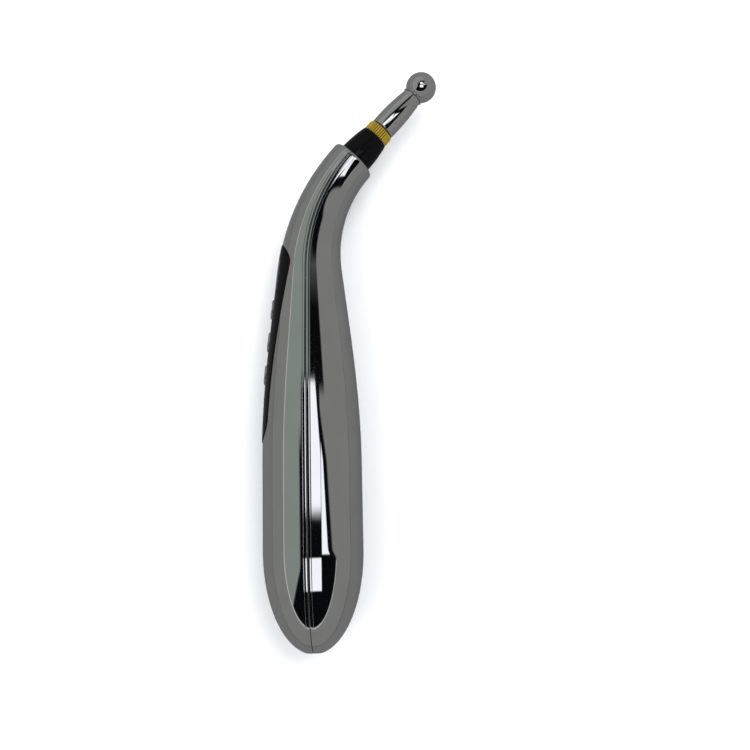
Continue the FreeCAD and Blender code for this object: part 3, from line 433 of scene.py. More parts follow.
def band_group():
    """Soft-edged mask of a value between two limits."""
    tree, given, result = shader_group("band", [
        ("Value", "NodeSocketFloat", 0.0), ("Low", "NodeSocketFloat", 0.0),
        ("High", "NodeSocketFloat", 1.0), ("Soft", "NodeSocketFloat", 0.02),
    ], [("Mask", "NodeSocketFloat")])
    edges = []
    for limit, sign in (("Low", 1.0), ("High", -1.0)):
        gap = calc(tree, "SUBTRACT", given.outputs["Value"], given.outputs[limit])
        over = calc(tree, "DIVIDE", calc(tree, "MULTIPLY", gap, sign), given.outputs["Soft"])
        edge = add(tree, "ShaderNodeMapRange", {"Value": over, "From Min": -1.0, "From Max": 1.0},
                   interpolation_type="SMOOTHSTEP")
        edges.append(edge.outputs["Result"])
    tree.links.new(calc(tree, "MULTIPLY", *edges), result.inputs["Mask"])
    return tree


HANDLING, MOULDING, BAND = handling_group(), moulding_group(), band_group()


def use(tree, group, inputs):
    """A shared group placed in a tree."""
    return add(tree, "ShaderNodeGroup", inputs, node_tree=group)


def surface(name, color, roughness, metal=0.0, haze=0.04, scratches=0.02, grain=900.0, depth=0.03,
            tone=0.08, **extra):
    """A handled, moulded or plated surface; extra holds further sockets of the shader."""
    material = bpy.data.materials.new(name)
    material.use_nodes = True
    tree = material.node_tree
    shader = tree.nodes["Principled BSDF"]
    marks = use(tree, HANDLING, {"Haze": haze, "Scratches": scratches})
    mould = use(tree, MOULDING, {"Grain": grain, "Depth": depth, "Tone": tone})
    rough = calc(tree, "ADD", roughness, marks.outputs["Roughness"])
    tint = add(tree, "ShaderNodeMix", data_type="RGBA", blend_type="MULTIPLY")
    tint.inputs["Factor"].default_value = 1.0
    tint.inputs["A"].default_value = (*color, 1.0)
    tree.links.new(mould.outputs["Shade"], tint.inputs["B"])
    tree.links.new(tint.outputs["Result"], shader.inputs["Base Color"])
    tree.links.new(rough, shader.inputs["Roughness"])
    tree.links.new(mould.outputs["Normal"], shader.inputs["Normal"])
    shader.inputs["Metallic"].default_value = metal
    for key, value in extra.items():
        shader.inputs[key.replace("_", " ")].default_value = value
    return material


def lay_painted_shade(material, attribute, color):
    """Lay painted shade, a dark tone, where an attribute of the mesh is high, such as the depth of a groove.
    """
    first, full = 0.05, 0.45  # where the painted shade starts and where it is whole
    tree = material.node_tree
    base = tree.nodes["Principled BSDF"].inputs["Base Color"]
    mix = add(tree, "ShaderNodeMix", data_type="RGBA")
    depth = add(tree, "ShaderNodeAttribute", attribute_name=attribute).outputs["Fac"]
    tree.links.new(share_of(tree, depth, first, full), mix.inputs["Factor"])
    tree.links.new(base.links[0].from_socket, mix.inputs["A"])
    mix.inputs["B"].default_value = (*color, 1.0)
    tree.links.new(mix.outputs["Result"], base)


CHROME = surface("chrome_shell", (0.60, 0.61, 0.62), 0.025, metal=1.0, haze=0.035, grain=260.0, depth=0.006,
                 tone=0.05)
HEAD_CHROME = surface("chrome_head", (0.64, 0.645, 0.655), 0.035, metal=1.0, haze=0.03, scratches=0.03,
                      grain=700.0, depth=0.006, tone=0.05)
BLACK = surface("gloss_black", (0.004, 0.004, 0.0045), 0.06, haze=0.08, scratches=0.03, depth=0.012,
                tone=0.3, Specular_IOR_Level=0.08)
GOLD = surface("gold_plating", (0.84, 0.56, 0.06), 0.22, metal=0.35, haze=0.08, scratches=0.05,
               grain=1500.0, tone=0.12)
# Painted shade: the gold is darkened in the grooves of its flutes, where shade falls.
lay_painted_shade(GOLD, "groove", (0.05, 0.024, 0.002))
STEEL = surface("stud_steel", (0.56, 0.56, 0.57), 0.25, metal=1.0)
RUBBER = surface("seal_rubber", (0.012, 0.012, 0.012), 0.6, haze=0.05, scratches=0.0, grain=1800.0,
                 depth=0.2, tone=0.2)
INK = surface("sign_ink", (0.02, 0.02, 0.022), 0.45, haze=0.03, scratches=0.0, grain=2000.0,
              depth=0.05, tone=0.2)
SILVER = surface("key_silver", (0.56, 0.57, 0.58), 0.22, metal=1.0, haze=0.05, scratches=0.03, grain=2600.0,
                 tone=0.06)


# Casing
def half_shell(side):
    """Outer skin of one half, with its land beside the seam, the rounded neck end and the tail hole."""
    edge, lip_depth, tuck, run_in, least = 0.14, 1.6, 0.2, 0.25, 1e-6
    tail_rows, body_rows, end_rows, around = 60, 160, 9, 110
    turn = np.linspace(0, np.pi / 2, 5)
    # Across the seam and below the skin, from the lip's inside out to the skin
    lip = [(GAP, lip_depth), (GAP, STEP + edge + tuck)]
    lip += [(GAP + edge * (1 - math.cos(k)), STEP + edge * (1 - math.sin(k))) for k in turn]
    lip += [(LAND - run_in, STEP), (LAND, STEP)]
    lip += [(LAND + edge * (1 - math.cos(k)), edge * (1 - math.sin(k))) for k in turn]
    tail = TAIL - TAIL * np.cos(np.linspace(math.acos((TAIL - TAIL_FLAT) / TAIL), np.pi / 2, tail_rows))
    body = np.linspace(TAIL, NECK_S - NECK_ROUND, body_rows)[1:]
    end = NECK_S - NECK_ROUND + NECK_ROUND * np.sin(np.linspace(0, np.pi / 2, end_rows))[1:]
    stations = np.concatenate([tail, body, end])
    rows = []
    for s in stations:
        top = []
        for across, inset in lip:
            w, t = girth(s, inset)
            top.append((across, t * math.sqrt(max(0.0, 1 - (across / max(w, least)) ** 2))))
        w, t = girth(s)
        start = math.acos((LAND + edge) / w)
        arc = np.linspace(start, -start, around)[1:-1]
        ring = top + [(w * math.cos(k), t * math.sin(k)) for k in arc] + [(u, -z) for u, z in reversed(top)]
        rows.append(np.array(ring))
    points = [at(s, side * ring[:, 0], ring[:, 1]) for s, ring in zip(stations, rows)]

    def circle(ring, radius):
        """A ring of points moved onto a circle."""
        return ring * (radius / np.linalg.norm(ring, axis=1))[:, None]

    bore = circle(rows[-1], NECK_BORE)
    front = []
    # The tail hole's wall and its rounded mouth
    for depth, flare in ((BORE_DEPTH, 0.0), (0.25, 0.0), (0.07, 0.07), (0.0, 0.25)):
        mouth = circle(rows[0], TAIL_HOLE + flare)
        front.append(at(TAIL_FLAT + depth, side * mouth[:, 0], mouth[:, 1]))
    back = [at(s, side * bore[:, 0], bore[:, 1]) for s in (NECK_S, NECK_S - BORE_DEPTH)]
    points = np.array(front + points + back)
    return points.reshape(-1, 3), grid_faces(points.shape[0], points.shape[1])


def bed_distance(a, v):
    """Signed distance from the outline of the panel's bed, positive outside."""
    span = PANEL_TOP - PANEL_FOOT
    lean = (PANEL_FOOT_R - PANEL_TOP_R) / span
    tall = math.sqrt(1 - lean ** 2)
    x, y = np.abs(v), a - PANEL_FOOT
    k = -lean * x + tall * y
    low = np.hypot(x, y) - PANEL_FOOT_R
    high = np.hypot(x, y - span) - PANEL_TOP_R
    side = tall * x + lean * y - PANEL_FOOT_R
    return np.where(k < 0, low, np.where(k > tall * span, high, side)) - PANEL_FIT


def window_distance(a, v):
    """Signed distance from the window's rounded outline, positive outside."""
    qa = np.abs(a - WINDOW) - WINDOW_L / 2 + WINDOW_CORNER
    qv = np.abs(v) - WINDOW_W / 2 + WINDOW_CORNER
    outside = np.hypot(np.maximum(qa, 0), np.maximum(qv, 0))
    return outside + np.minimum(np.maximum(qa, qv), 0) - WINDOW_CORNER


def trimmed(points, faces, distance, inset, wall, cell):
    """Surface cut open along an outline, with its rim moved onto the outline and turned down into a wall."""
    nudge, away, least, rounds = 1e-3, 99.0, 1e-6, 3
    rel = points - BOARD_P
    a, v, h = rel @ ALONG, rel @ ACROSS, rel @ OUT
    facing = h > 0
    gap = np.where(facing, distance(a, v), away)
    near = np.abs(gap) < cell
    for _ in range(rounds):
        d = distance(a[near], v[near])
        da = (distance(a[near] + nudge, v[near]) - d) / nudge
        dv = (distance(a[near], v[near] + nudge) - d) / nudge
        size = np.maximum(da ** 2 + dv ** 2, least)
        a[near] -= d * da / size
        v[near] -= d * dv / size
    points = points.copy()
    points[near] = on_board(a[near], v[near], rise(a[near], v[near], inset))
    inner = (gap < 0) | near
    kept = [f for f in faces if not all(inner[list(f)])]
    count = {}
    for f in kept:
        for i in range(len(f)):
            key = tuple(sorted((f[i], f[(i + 1) % len(f)])))
            count[key] = count.get(key, 0) + 1
    rim = [key for key, n in count.items() if n == 1 and near[key[0]] and near[key[1]]]
    lower = {}
    extra = []
    for key in rim:
        for i in key:
            if i not in lower:
                lower[i] = len(points) + len(extra)
                extra.append(points[i] - OUT * wall)
    walls = [(i, j, lower[j], lower[i]) for i, j in rim]
    return np.concatenate([points, np.array(extra)]), kept + walls


BED_WALL, SHELL_CELL = 1.2, 0.62
piece("rear_shell_skin", *half_shell(1.0), CHROME, "handle", "plated_shell", ("rear_shell",))
front_half = trimmed(*half_shell(-1.0), bed_distance, 0.0, BED_WALL, SHELL_CELL)
piece("front_shell_skin", *front_half, CHROME, "handle", "plated_shell", ("front_shell",))


# Panel, window and buttons
def panel_grid():
    """Teardrop plate that follows the skin, with a rounded rim."""
    lean = math.asin((PANEL_TOP_R - PANEL_FOOT_R) / (PANEL_TOP - PANEL_FOOT))
    left, right = np.pi / 2 + lean, 3 * np.pi / 2 - lean

    def side(shares, angle):
        """Straight side between the two rounds."""
        length, narrowing = PANEL_FOOT - PANEL_TOP, PANEL_FOOT_R - PANEL_TOP_R
        return [(PANEL_TOP + length * k, PANEL_TOP_R + narrowing * k, angle) for k in shares]

    path = [(PANEL_TOP, PANEL_TOP_R, k) for k in np.linspace(-left, left, 96)]
    path += side(np.linspace(0, 1, 150)[1:-1], left)
    path += [(PANEL_FOOT, PANEL_FOOT_R, k) for k in np.linspace(left, right, 60)]
    path += side(np.linspace(1, 0, 150)[1:-1], right)
    centre, radius, angle = np.array(path).T
    rings = [(1.0, 0.0, PANEL_EDGE + PANEL_SKIRT)]
    rings += [(1.0, PANEL_EDGE * (1 - math.cos(k)), PANEL_EDGE * (1 - math.sin(k)))
              for k in np.linspace(0, np.pi / 2, 7)]
    rings += [(share, PANEL_EDGE * share, 0.0) for share in np.linspace(1, 0, 27)[1:]]
    points = []
    for share, back, sunk in rings:
        reach = radius * share - back
        a, v = centre + reach * np.cos(angle), reach * np.sin(angle)
        points.append(on_board(a, v, rise(a, v, -PANEL_PROUD + sunk)))
    return np.array(points).reshape(-1, 3), grid_faces(len(rings), len(path), closed=True)


PANEL_WALL, PANEL_CELL = 1.0, 0.3
plate = trimmed(*panel_grid(), window_distance, -PANEL_PROUD, PANEL_WALL, PANEL_CELL)
for place in BUTTONS.values():
    plate = trimmed(*plate, lambda a, v, p=place: np.hypot(a - p, v) - BUTTON_R - BUTTON_FIT, -PANEL_PROUD,
                    PANEL_WALL, PANEL_CELL)
piece("control_panel_skin", *plate, BLACK, "handle", "black_gloss", ("control_panel",))


def key_top(place, a, v):
    """Height above the board of a key's dished top."""
    dish = BUTTON_DISH * np.maximum(0.0, 1 - np.hypot(a - place, v) ** 2 / (BUTTON_R - BUTTON_EDGE) ** 2)
    return rise(a, v, -BUTTON_RISE) - dish


def key_cap(place):
    """Round key that follows the skin, with a dished top, a rounded rim and a side wall."""
    rings = [(BUTTON_R, BUTTON_FOOT)]
    rings += [(BUTTON_R - BUTTON_EDGE * (1 - math.cos(k)), BUTTON_EDGE * (1 - math.sin(k)))
              for k in np.linspace(0, np.pi / 2, 7)]
    rings += [((BUTTON_R - BUTTON_EDGE) * share, 0.0) for share in np.linspace(1, 0, 14)[1:]]
    angle = np.linspace(0, 2 * np.pi, 96, endpoint=False)
    points = []
    for reach, sunk in rings:
        a, v = place + reach * np.cos(angle), reach * np.sin(angle)
        points.append(on_board(a, v, key_top(place, a, v) - sunk))
    return np.array(points).reshape(-1, 3), grid_faces(len(rings), len(angle), closed=True)


def raised(place, a, v):
    """Thin plate on a key's top, over a grid of places, with its rim turned down."""
    lift = np.pad(np.full(a.shape, SIGN_PROUD), 1, constant_values=-SIGN_SUNK)
    a, v = (np.pad(grid, 1, mode="edge") for grid in (a, v))
    points = on_board(a, v, key_top(place, a, v) + lift)
    return points.reshape(-1, 3), grid_faces(*a.shape)


def bar(place, length, width):
    """Straight stroke of a sign, along the board's length when longer than wide."""
    ways = [np.linspace(-reach / 2, reach / 2, 9) for reach in (length, width)]
    a, v = np.meshgrid(*ways, indexing="ij")
    return a + place, v


def arc(place, radius, width, gap):
    """Open ring of a sign, with its gap towards the head."""
    turn = np.linspace(gap, 2 * np.pi - gap, 49)
    angle, reach = np.meshgrid(turn, np.linspace(radius - width / 2, radius + width / 2, 4), indexing="ij")
    return place + reach * np.cos(angle), reach * np.sin(angle)


STROKE, SIGN, SIGN_PROUD, SIGN_SUNK = 0.42, 2.6, 0.06, 0.05
POWER_GAP, STEM_PLACE, STEM = 0.62, 0.32, 0.55  # half the ring's gap in radians, then shares of the sign
STROKES = {
    "minus": lambda p: [bar(p, STROKE, SIGN)],
    "plus": lambda p: [bar(p, STROKE, SIGN), bar(p, SIGN, STROKE)],
    "power": lambda p: [arc(p, SIGN / 2, STROKE, POWER_GAP),
                        bar(p + SIGN * STEM_PLACE, SIGN * STEM, STROKE)],
}
for key, place in BUTTONS.items():
    piece(f"{key}_button_skin", *key_cap(place), SILVER, f"{key}_key", "key_plating", (f"{key}_button",))
    for number, (a, v) in enumerate(STROKES[key](place)):
        piece(f"{key}_sign_{number}", *raised(place, a, v), INK, f"{key}_key", "black_gloss")


def window_border(width, depth, thickness):
    """Printed border behind the window: a thin ring that follows the skin at a depth below it."""
    far_a, far_v = WINDOW_L / 2 - WINDOW_CORNER, WINDOW_W / 2 - WINDOW_CORNER
    corners = [(far_a, far_v), (-far_a, far_v), (-far_a, -far_v), (far_a, -far_v)]
    path = []
    for number, corner in enumerate(corners):
        for k in np.linspace(0, np.pi / 2, 8):
            path.append((*corner, k + number * np.pi / 2))
        onward = corners[(number + 1) % 4]
        for k in np.linspace(0, 1, 14)[1:-1]:
            path.append((corner[0] + (onward[0] - corner[0]) * k, corner[1] + (onward[1] - corner[1]) * k,
                         (number + 1) * np.pi / 2))
    a, v, angle = np.array(path).T
    points = []
    for share, below in ((0, 0), (0.5, 0), (1, 0), (1, 1), (0, 1), (0, 0)):
        reach = WINDOW_CORNER - GAP - width * share
        ring_a, ring_v = WINDOW + a + reach * np.cos(angle), v + reach * np.sin(angle)
        points.append(on_board(ring_a, ring_v, rise(ring_a, ring_v, depth + thickness * below)))
    return np.array(points).reshape(-1, 3), grid_faces(len(points), len(path), closed=True)


WINDOW_BACK, BORDER, BORDER_GAP, BORDER_THICK = 1.0, 1.2, 0.03, 0.05
DISPLAY_TOP, BARS_FOOT, BARS_GAP = 3.8, 3.6, 0.005
BARS = {"Count": 8, "Spacing": -0.9, "Width": 0.55, "Shortest": 1.2, "Growth": 0.75, "Thickness": 0.03}
border = window_border(BORDER, WINDOW_BACK + BORDER_GAP, BORDER_THICK)
piece("window_border", *border, INK, "handle", "black_gloss")
bars_mesh = grown("level_bars", level_tree(), INK, BARS)
bars_place = placed(on_board(WINDOW - BARS_FOOT, 0.0, DISPLAY_TOP + BARS_GAP), ALONG, ACROSS, OUT)
show("level_bars", bars_mesh, bars_place, "handle")

# Collar, ring, seal, stud and head, in (radius, height) profiles about the neck's axis
STUD_HOLE = 3.2
COLLAR_R, COLLAR_FRONT, COLLAR_L, COLLAR_ROOT, COLLAR_STEPS = 6.85, 5.6, 12.0, 2.0, 28
taper = COLLAR_R - COLLAR_FRONT
bow = (COLLAR_L ** 2 + taper ** 2) / (2 * taper)  # radius of the collar's bowed side
collar_profile = [(COLLAR_R, -COLLAR_ROOT)]
for k in np.linspace(0, math.asin(COLLAR_L / bow), COLLAR_STEPS):
    collar_profile.append((COLLAR_R - bow * (1 - math.cos(k)), bow * math.sin(k)))
collar_profile = collar_profile[:-1] + [(COLLAR_FRONT, COLLAR_L), (STUD_HOLE, COLLAR_L)]
collar_profile = rounded(collar_profile, [0] * COLLAR_STEPS + [0.35, 0], steps=6)
piece("neck_collar_skin", *lathe(collar_profile, 0.0), BLACK, "handle", "black_gloss", ("neck_collar",),
      place=NECK_PLACE)

RING_R, RING_L, RING_EDGE, RING_SHARP = 5.45, 4.1, 0.33, 40.0
FLUTES, STEPS_PER_FLUTE = 36, 12
FLUTE_SIZES = {"Count": float(FLUTES), "Depth": 0.34, "Rim Radius": 4.9, "Run Out": 0.35}
ring_corners = [(STUD_HOLE, 0), (RING_R - RING_EDGE, 0), (RING_R, RING_EDGE), (RING_R, RING_L - RING_EDGE),
                (RING_R - RING_EDGE, RING_L), (STUD_HOLE, RING_L)]
ring_profile = rounded(ring_corners, [0, 0.12, 0.15, 0.15, 0.12, 0], steps=4)
ring_blank = mesh_of("ring_blank", *lathe(ring_profile, COLLAR_L, FLUTES * STEPS_PER_FLUTE))
ring_mesh = grown("contact_ring_skin", fluted_tree(), GOLD, FLUTE_SIZES, ring_blank)
show("contact_ring_skin", ring_mesh, NECK_PLACE, "handle", ("contact_ring",), RING_SHARP)

SEAL_R, SEAL_L = 4.6, 0.6
seal_corners = [(STUD_HOLE, 0), (SEAL_R, 0), (SEAL_R, SEAL_L), (STUD_HOLE, SEAL_L), (STUD_HOLE, 0)]
seal_profile = rounded(seal_corners, [0, 0.15, 0.15, 0, 0], steps=4)
piece("head_seal_skin", *lathe(seal_profile, COLLAR_L + RING_L), RUBBER, "seal_carrier", "seal_rubber",
      ("head_seal",), place=NECK_PLACE)

STUD_R, STUD_CORE, STUD_TOP, STUD_TIP, SHOULDER, STUD_SHARP = 3.0, 2.55, 23.1, 0.3, 16.0, 40.0
FLANGE_R, FLANGE_BACK, FLANGE_FRONT = 4.8, -10.6, -9.0
THREAD_FOOT, THREAD_TOP, PITCH = 16.5, STUD_TOP - 0.6, 1.0
THREAD_SIZES = {"Start": THREAD_FOOT, "Length": THREAD_TOP - THREAD_FOOT, "Pitch": PITCH,
                "Radius": STUD_CORE, "Ridge": 2 * (STUD_R - STUD_CORE)}
stud_corners = [(0, FLANGE_BACK), (FLANGE_R, FLANGE_BACK), (FLANGE_R, FLANGE_FRONT),
                (STUD_R, FLANGE_FRONT), (STUD_R, SHOULDER), (STUD_CORE, SHOULDER + STUD_TIP),
                (STUD_CORE, STUD_TOP - STUD_TIP), (STUD_CORE - STUD_TIP, STUD_TOP), (0, STUD_TOP)]
stud_profile = rounded(stud_corners, [0, 0.2, 0.2, 0.1, 0.1, 0, 0.05, 0.05, 0], steps=3)
stud_blank = mesh_of("stud_blank", *lathe(stud_profile, 0.0, segments=72))
stud_mesh = grown("electrode_stud_skin", thread_tree(), STEEL, THREAD_SIZES, stud_blank)
show("electrode_stud_skin", stud_mesh, NECK_PLACE, "handle", ("electrode_stud",),
     STUD_SHARP)

HEAD_BASE, HEAD_END, HEAD_L, HEAD_CURVE = 4.9, 3.9, 18.2, 90.0
BALL_R, BALL_HEIGHT, HEAD_BORE, HEAD_BORE_DEPTH = 6.05, 23.3, 3.05, 6.0
FOOT_ROUND, SHELF_ROUND, BALL_FILLET, CURVE_STEPS, BALL_STEPS = 0.25, 0.18, 0.35, 40, 64
base, tip = np.array((HEAD_BASE, 0.0)), np.array((HEAD_END, HEAD_L))
chord = tip - base
inward = np.array((-chord[1], chord[0])) / np.linalg.norm(chord)
curve_c = base + chord / 2 + inward * math.sqrt(HEAD_CURVE ** 2 - (chord @ chord) / 4)
curve_ends = [math.atan2(*(p - curve_c)[::-1]) for p in (base, tip)]
curve = [curve_c + HEAD_CURVE * np.array((math.cos(k), math.sin(k)))
         for k in np.linspace(*curve_ends, CURVE_STEPS)]
foot_angle = -math.acos(math.sqrt(BALL_R ** 2 - (BALL_HEIGHT - HEAD_L) ** 2) / BALL_R)
ball = [np.array((0, BALL_HEIGHT)) + BALL_R * np.array((math.cos(k), math.sin(k)))
        for k in np.linspace(foot_angle, np.pi / 2, BALL_STEPS)]
head_profile = [(HEAD_BORE, HEAD_BORE_DEPTH), (HEAD_BORE, 0.0)] + curve + ball
head_radii = [0, 0, FOOT_ROUND] + [0] * (CURVE_STEPS - 2) + [SHELF_ROUND, BALL_FILLET]
head_radii += [0] * (BALL_STEPS - 1)
head_profile = rounded(head_profile, head_radii)
piece("massage_head_skin", *lathe(head_profile, COLLAR_L + RING_L + SEAL_L, segments=192), HEAD_CHROME,
      "head", "plated_head", ("massage_head",), place=NECK_PLACE)

# Hidden and small CAD pieces
PLAIN = {
    "display_module": surface("display_glass", (0.24, 0.29, 0.25), 0.12, haze=0.05),
    "backlight_plate": surface("light_plate", (0.75, 0.78, 0.80), 0.3),
    "display_holder": surface("holder_plastic", (0.70, 0.70, 0.68), 0.5),
    "tact_switches": surface("switch_case", (0.05, 0.05, 0.055), 0.5),
    "power_plunger": surface("switch_plunger", (0.10, 0.10, 0.11), 0.45),
    "circuit_board": surface("board_mask", (0.02, 0.16, 0.06), 0.35, grain=400.0, depth=0.1, tone=0.35),
    "board_screws": surface("screw_steel", (0.55, 0.55, 0.56), 0.3, metal=1.0),
    "control_chip": surface("chip_case", (0.02, 0.02, 0.022), 0.55),
    "transformer_core": surface("core_ferrite", (0.05, 0.05, 0.055), 0.6, grain=1500.0, depth=0.3,
                                tone=0.3),
    "transformer_winding": surface("winding_copper", (0.55, 0.22, 0.08), 0.35, metal=1.0, grain=2500.0,
                                   depth=0.3, tone=0.3),
    "reservoir_capacitor": surface("can_sleeve", (0.06, 0.07, 0.15), 0.35),
    "battery_cell": surface("cell_sleeve", (0.05, 0.14, 0.32), 0.32),
    "battery_leads": surface("lead_sleeve", (0.30, 0.02, 0.015), 0.45),
    "charge_socket": surface("socket_plastic", (0.015, 0.015, 0.016), 0.4),
    "return_contact": surface("leaf_steel", (0.60, 0.58, 0.52), 0.28, metal=1.0),
}
SAME = {"plus_plunger": "power_plunger", "minus_plunger": "power_plunger", "buzzer": "control_chip",
        "socket_leads": "battery_leads", "electrode_lead": "battery_leads"}
GLASS = surface("window_glass", (0.90, 0.93, 0.93), 0.03, haze=0.02, Transmission_Weight=1.0, IOR=1.49)
for name, node in nodes.items():
    chosen = GLASS if name == "display_window" else PLAIN.get(SAME.get(name, name))
    if chosen is not None:
        node.data.materials.clear()
        node.data.materials.append(chosen)


# Stage: pale floor, soft light, and a dim room that only mirrors see
def floor():
    """Pale floor that reads white to the camera and grey in the chrome."""
    mesh = bpy.data.meshes.new("floor")
    reach = 3.0
    corners = [(-reach, -reach, 0), (reach, -reach, 0), (reach, reach, 0), (-reach, reach, 0)]
    mesh.from_pydata(corners, [], [(0, 1, 2, 3)])
    obj = bpy.data.objects.new("floor", mesh)
    bpy.context.collection.objects.link(obj)
    material = bpy.data.materials.new("floor_paper")
    material.use_nodes = True
    tree = material.node_tree
    shader = tree.nodes["Principled BSDF"]
    path = add(tree, "ShaderNodeLightPath")
    place = add(tree, "ShaderNodeTexCoord").outputs["Object"]
    fibre = add(tree, "ShaderNodeTexNoise", {"Vector": place, "Scale": 400.0, "Detail": 3.0})
    tone = add(tree, "ShaderNodeMapRange", {"Value": fibre.outputs["Fac"], "To Min": 0.97, "To Max": 1.0})
    seen = add(tree, "ShaderNodeMix", data_type="RGBA")
    to_camera, in_mirrors = (0.90, 0.905, 0.91), (0.17, 0.165, 0.16)
    seen.inputs["A"].default_value = (*to_camera, 1)
    seen.inputs["B"].default_value = (*in_mirrors, 1)
    tree.links.new(path.outputs["Is Glossy Ray"], seen.inputs["Factor"])
    paper = add(tree, "ShaderNodeMix", data_type="RGBA", blend_type="MULTIPLY")
    paper.inputs["Factor"].default_value = 1.0
    tree.links.new(seen.outputs["Result"], paper.inputs["A"])
    tree.links.new(tone.outputs["Result"], paper.inputs["B"])
    tree.links.new(paper.outputs["Result"], shader.inputs["Base Color"])
    shader.inputs["Roughness"].default_value = 0.9
    shader.inputs["Specular IOR Level"].default_value = 0.1
    mesh.materials.append(material)


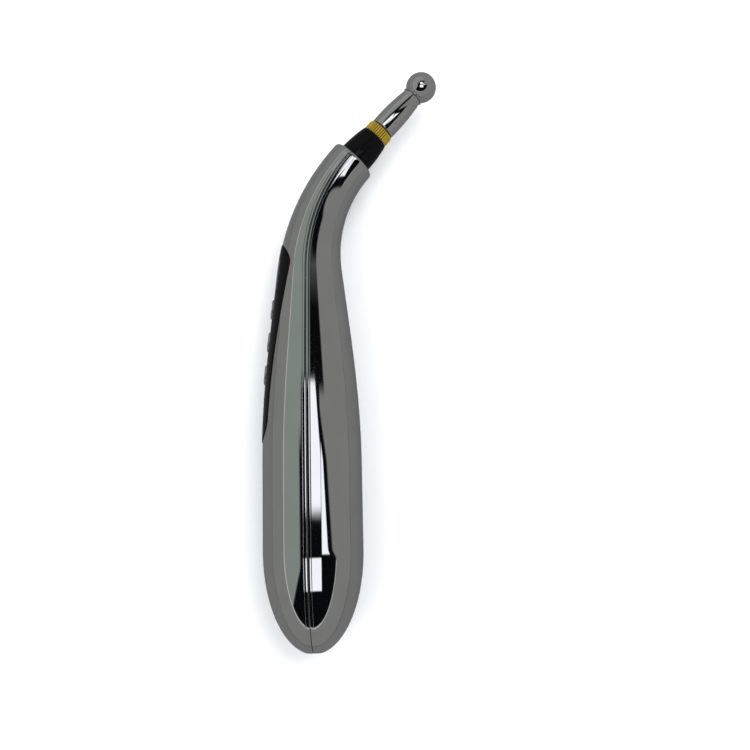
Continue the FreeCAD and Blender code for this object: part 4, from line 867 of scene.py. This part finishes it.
def room():
    """World: even soft light, a pale tone past the floor, and for mirrors a dim room with bright panes."""
    world = bpy.data.worlds.new("room")
    bpy.context.scene.world = world
    world.use_nodes = True
    tree = world.node_tree
    tree.nodes.clear()
    seen = add(tree, "ShaderNodeTexCoord").outputs["Generated"]
    # Ways along which a mirrored direction is measured
    across, along, up = (1.0, 0.0, 0.0), (0.0, 1.0, 0.0), (0.0, 0.0, 1.0)
    pane_end, streak_edge, wall_edge = (1.0, 1.33, 0.0), (1.0, 0.77, 0.0), (1.0, 1.5, 0.0)
    ceiling_foot, corner_edge, wall_top = (-1.14, 1.0, 0.0), (1.0, 0.5, 0.0), (-0.05, 0.0, 1.0)
    far = 9.0  # past every direction
    dark = (0.004, 0.0045, 0.006)
    color = None

    def paint(tint, *bands):
        """Lay a tint where every band holds: a way to measure along, its two limits and its softness."""
        nonlocal color
        mask = 1.0
        for way, low, high, soft in bands:
            measure = add(tree, "ShaderNodeVectorMath", {0: seen, 1: way}, operation="DOT_PRODUCT")
            limits = {"Value": measure.outputs["Value"], "Low": low, "High": high, "Soft": soft}
            mask = calc(tree, "MULTIPLY", mask, use(tree, BAND, limits).outputs["Mask"])
        mix = add(tree, "ShaderNodeMix", data_type="RGBA")
        tree.links.new(mask, mix.inputs["Factor"])
        if color is None:
            mix.inputs["A"].default_value = (*dark, 1)
        else:
            tree.links.new(color, mix.inputs["A"])
        mix.inputs["B"].default_value = (*tint, 1)
        color = mix.outputs["Result"]

    ceiling, pane = (0.34, 0.38, 0.35), (1.5, 1.52, 1.58)
    wall, ledge = (0.30, 0.295, 0.285), (0.70, 0.71, 0.70)
    overhead = (up, 0.2, far, 0.05)
    paint(ceiling, (across, -0.97, -0.375, 0.03), overhead, (ceiling_foot, 0.26, far, 0.04))
    paint(ceiling, (across, -0.44, -0.29, 0.03), overhead, (along, 0.13, far, 0.05))
    paint(ceiling, (across, -0.44, -0.10, 0.03), overhead, (along, 0.27, far, 0.03))
    paint(ceiling, (across, -0.60, 0.62, 0.10), (along, 0.45, far, 0.06))
    paint(pane, (across, -0.06, 0.335, 0.012), (streak_edge, -far, 0.404, 0.012), (along, 0.02, 0.27, 0.01))
    paint(pane, (across, 0.35, far, 0.01), (pane_end, -far, 0.512, 0.012), (along, -0.055, 0.13, 0.01))
    paint(pane, (across, -0.11, 0.325, 0.01), (along, -0.39, -0.087, 0.01), (up, 0.0, far, 0.05))
    paint(wall, (wall_top, -far, 0.575, 0.02))
    paint(wall, (wall_edge, 0.645, far, 0.03), (across, 0.335, far, 0.015), (along, -far, 0.25, 0.02))
    paint(wall, (corner_edge, 0.63, far, 0.03), (along, 0.23, far, 0.02))
    paint(ledge, (wall_top, 0.575, 0.60, 0.012), (across, -far, 0.30, 0.1))
    paint(ledge, (wall_top, 0.575, 0.595, 0.012), (along, -far, -0.10, 0.03))
    path = add(tree, "ShaderNodeLightPath")
    mirror = add(tree, "ShaderNodeBackground", {"Color": color, "Strength": 1.0})
    soft = add(tree, "ShaderNodeBackground", {"Color": (0.93, 0.96, 1.0, 1), "Strength": 0.85})
    beyond = add(tree, "ShaderNodeBackground", {"Color": (0.70, 0.725, 0.755, 1), "Strength": 1.0})
    first = add(tree, "ShaderNodeMixShader",
                {0: path.outputs["Is Glossy Ray"], 1: soft.outputs[0], 2: mirror.outputs[0]})
    last = add(tree, "ShaderNodeMixShader",
               {0: path.outputs["Is Camera Ray"], 1: first.outputs[0], 2: beyond.outputs[0]})
    output = tree.nodes.new("ShaderNodeOutputWorld")
    tree.links.new(last.outputs[0], output.inputs["Surface"])


def lamp(name, place, aim, width, power):
    """Soft area lamp that mirrors don't see."""
    data = bpy.data.lights.new(name, "AREA")
    data.shape = "RECTANGLE"
    data.size, data.size_y = width
    data.energy = power
    obj = bpy.data.objects.new(name, data)
    bpy.context.collection.objects.link(obj)
    obj.location = place
    obj.rotation_euler = (Vector(aim) - Vector(place)).to_track_quat("-Z", "Y").to_euler()
    obj.visible_glossy = False


def camera():
    """Camera above the handle, leaning towards the tail and a little to the right."""
    lean_x, lean_y, roll = (math.radians(angle) for angle in (4.02, 9.27, -1.28))
    focal, picture = 955.2, 750.0  # in pixels
    sensor, distance = 36.0, 0.36723  # in millimetres and in metres
    aimed_at = np.array((24.70, 103.57, 0.0))
    aim = (aimed_at + DATUM) / MM
    back = np.array((math.sin(lean_x) * math.cos(lean_y), -math.sin(lean_y),
                     math.cos(lean_x) * math.cos(lean_y)))
    right = np.cross(-back, (0, 1, 0))
    right /= np.linalg.norm(right)
    up = np.cross(right, -back)
    right, up = math.cos(roll) * right + math.sin(roll) * up, math.cos(roll) * up - math.sin(roll) * right
    data = bpy.data.cameras.new("camera")
    data.sensor_width = sensor
    data.lens = sensor * focal / picture
    data.clip_start, data.clip_end = 0.01, 20.0
    obj = bpy.data.objects.new("camera", data)
    bpy.context.collection.objects.link(obj)
    place = aim + back * distance
    obj.matrix_world = Matrix(((right[0], up[0], back[0], place[0]), (right[1], up[1], back[1], place[1]),
                               (right[2], up[2], back[2], place[2]), (0, 0, 0, 1)))
    bpy.context.scene.camera = obj


floor()
room()
lamp("key_light", (0.5, 0.4, 0.9), (0, 0, 0), (0.8, 0.8), 9.0)
lamp("fill_light", (-0.7, -0.3, 0.8), (0, 0, 0), (0.9, 0.9), 5.0)
camera()
bpy.context.scene.view_settings.view_transform = "Standard"
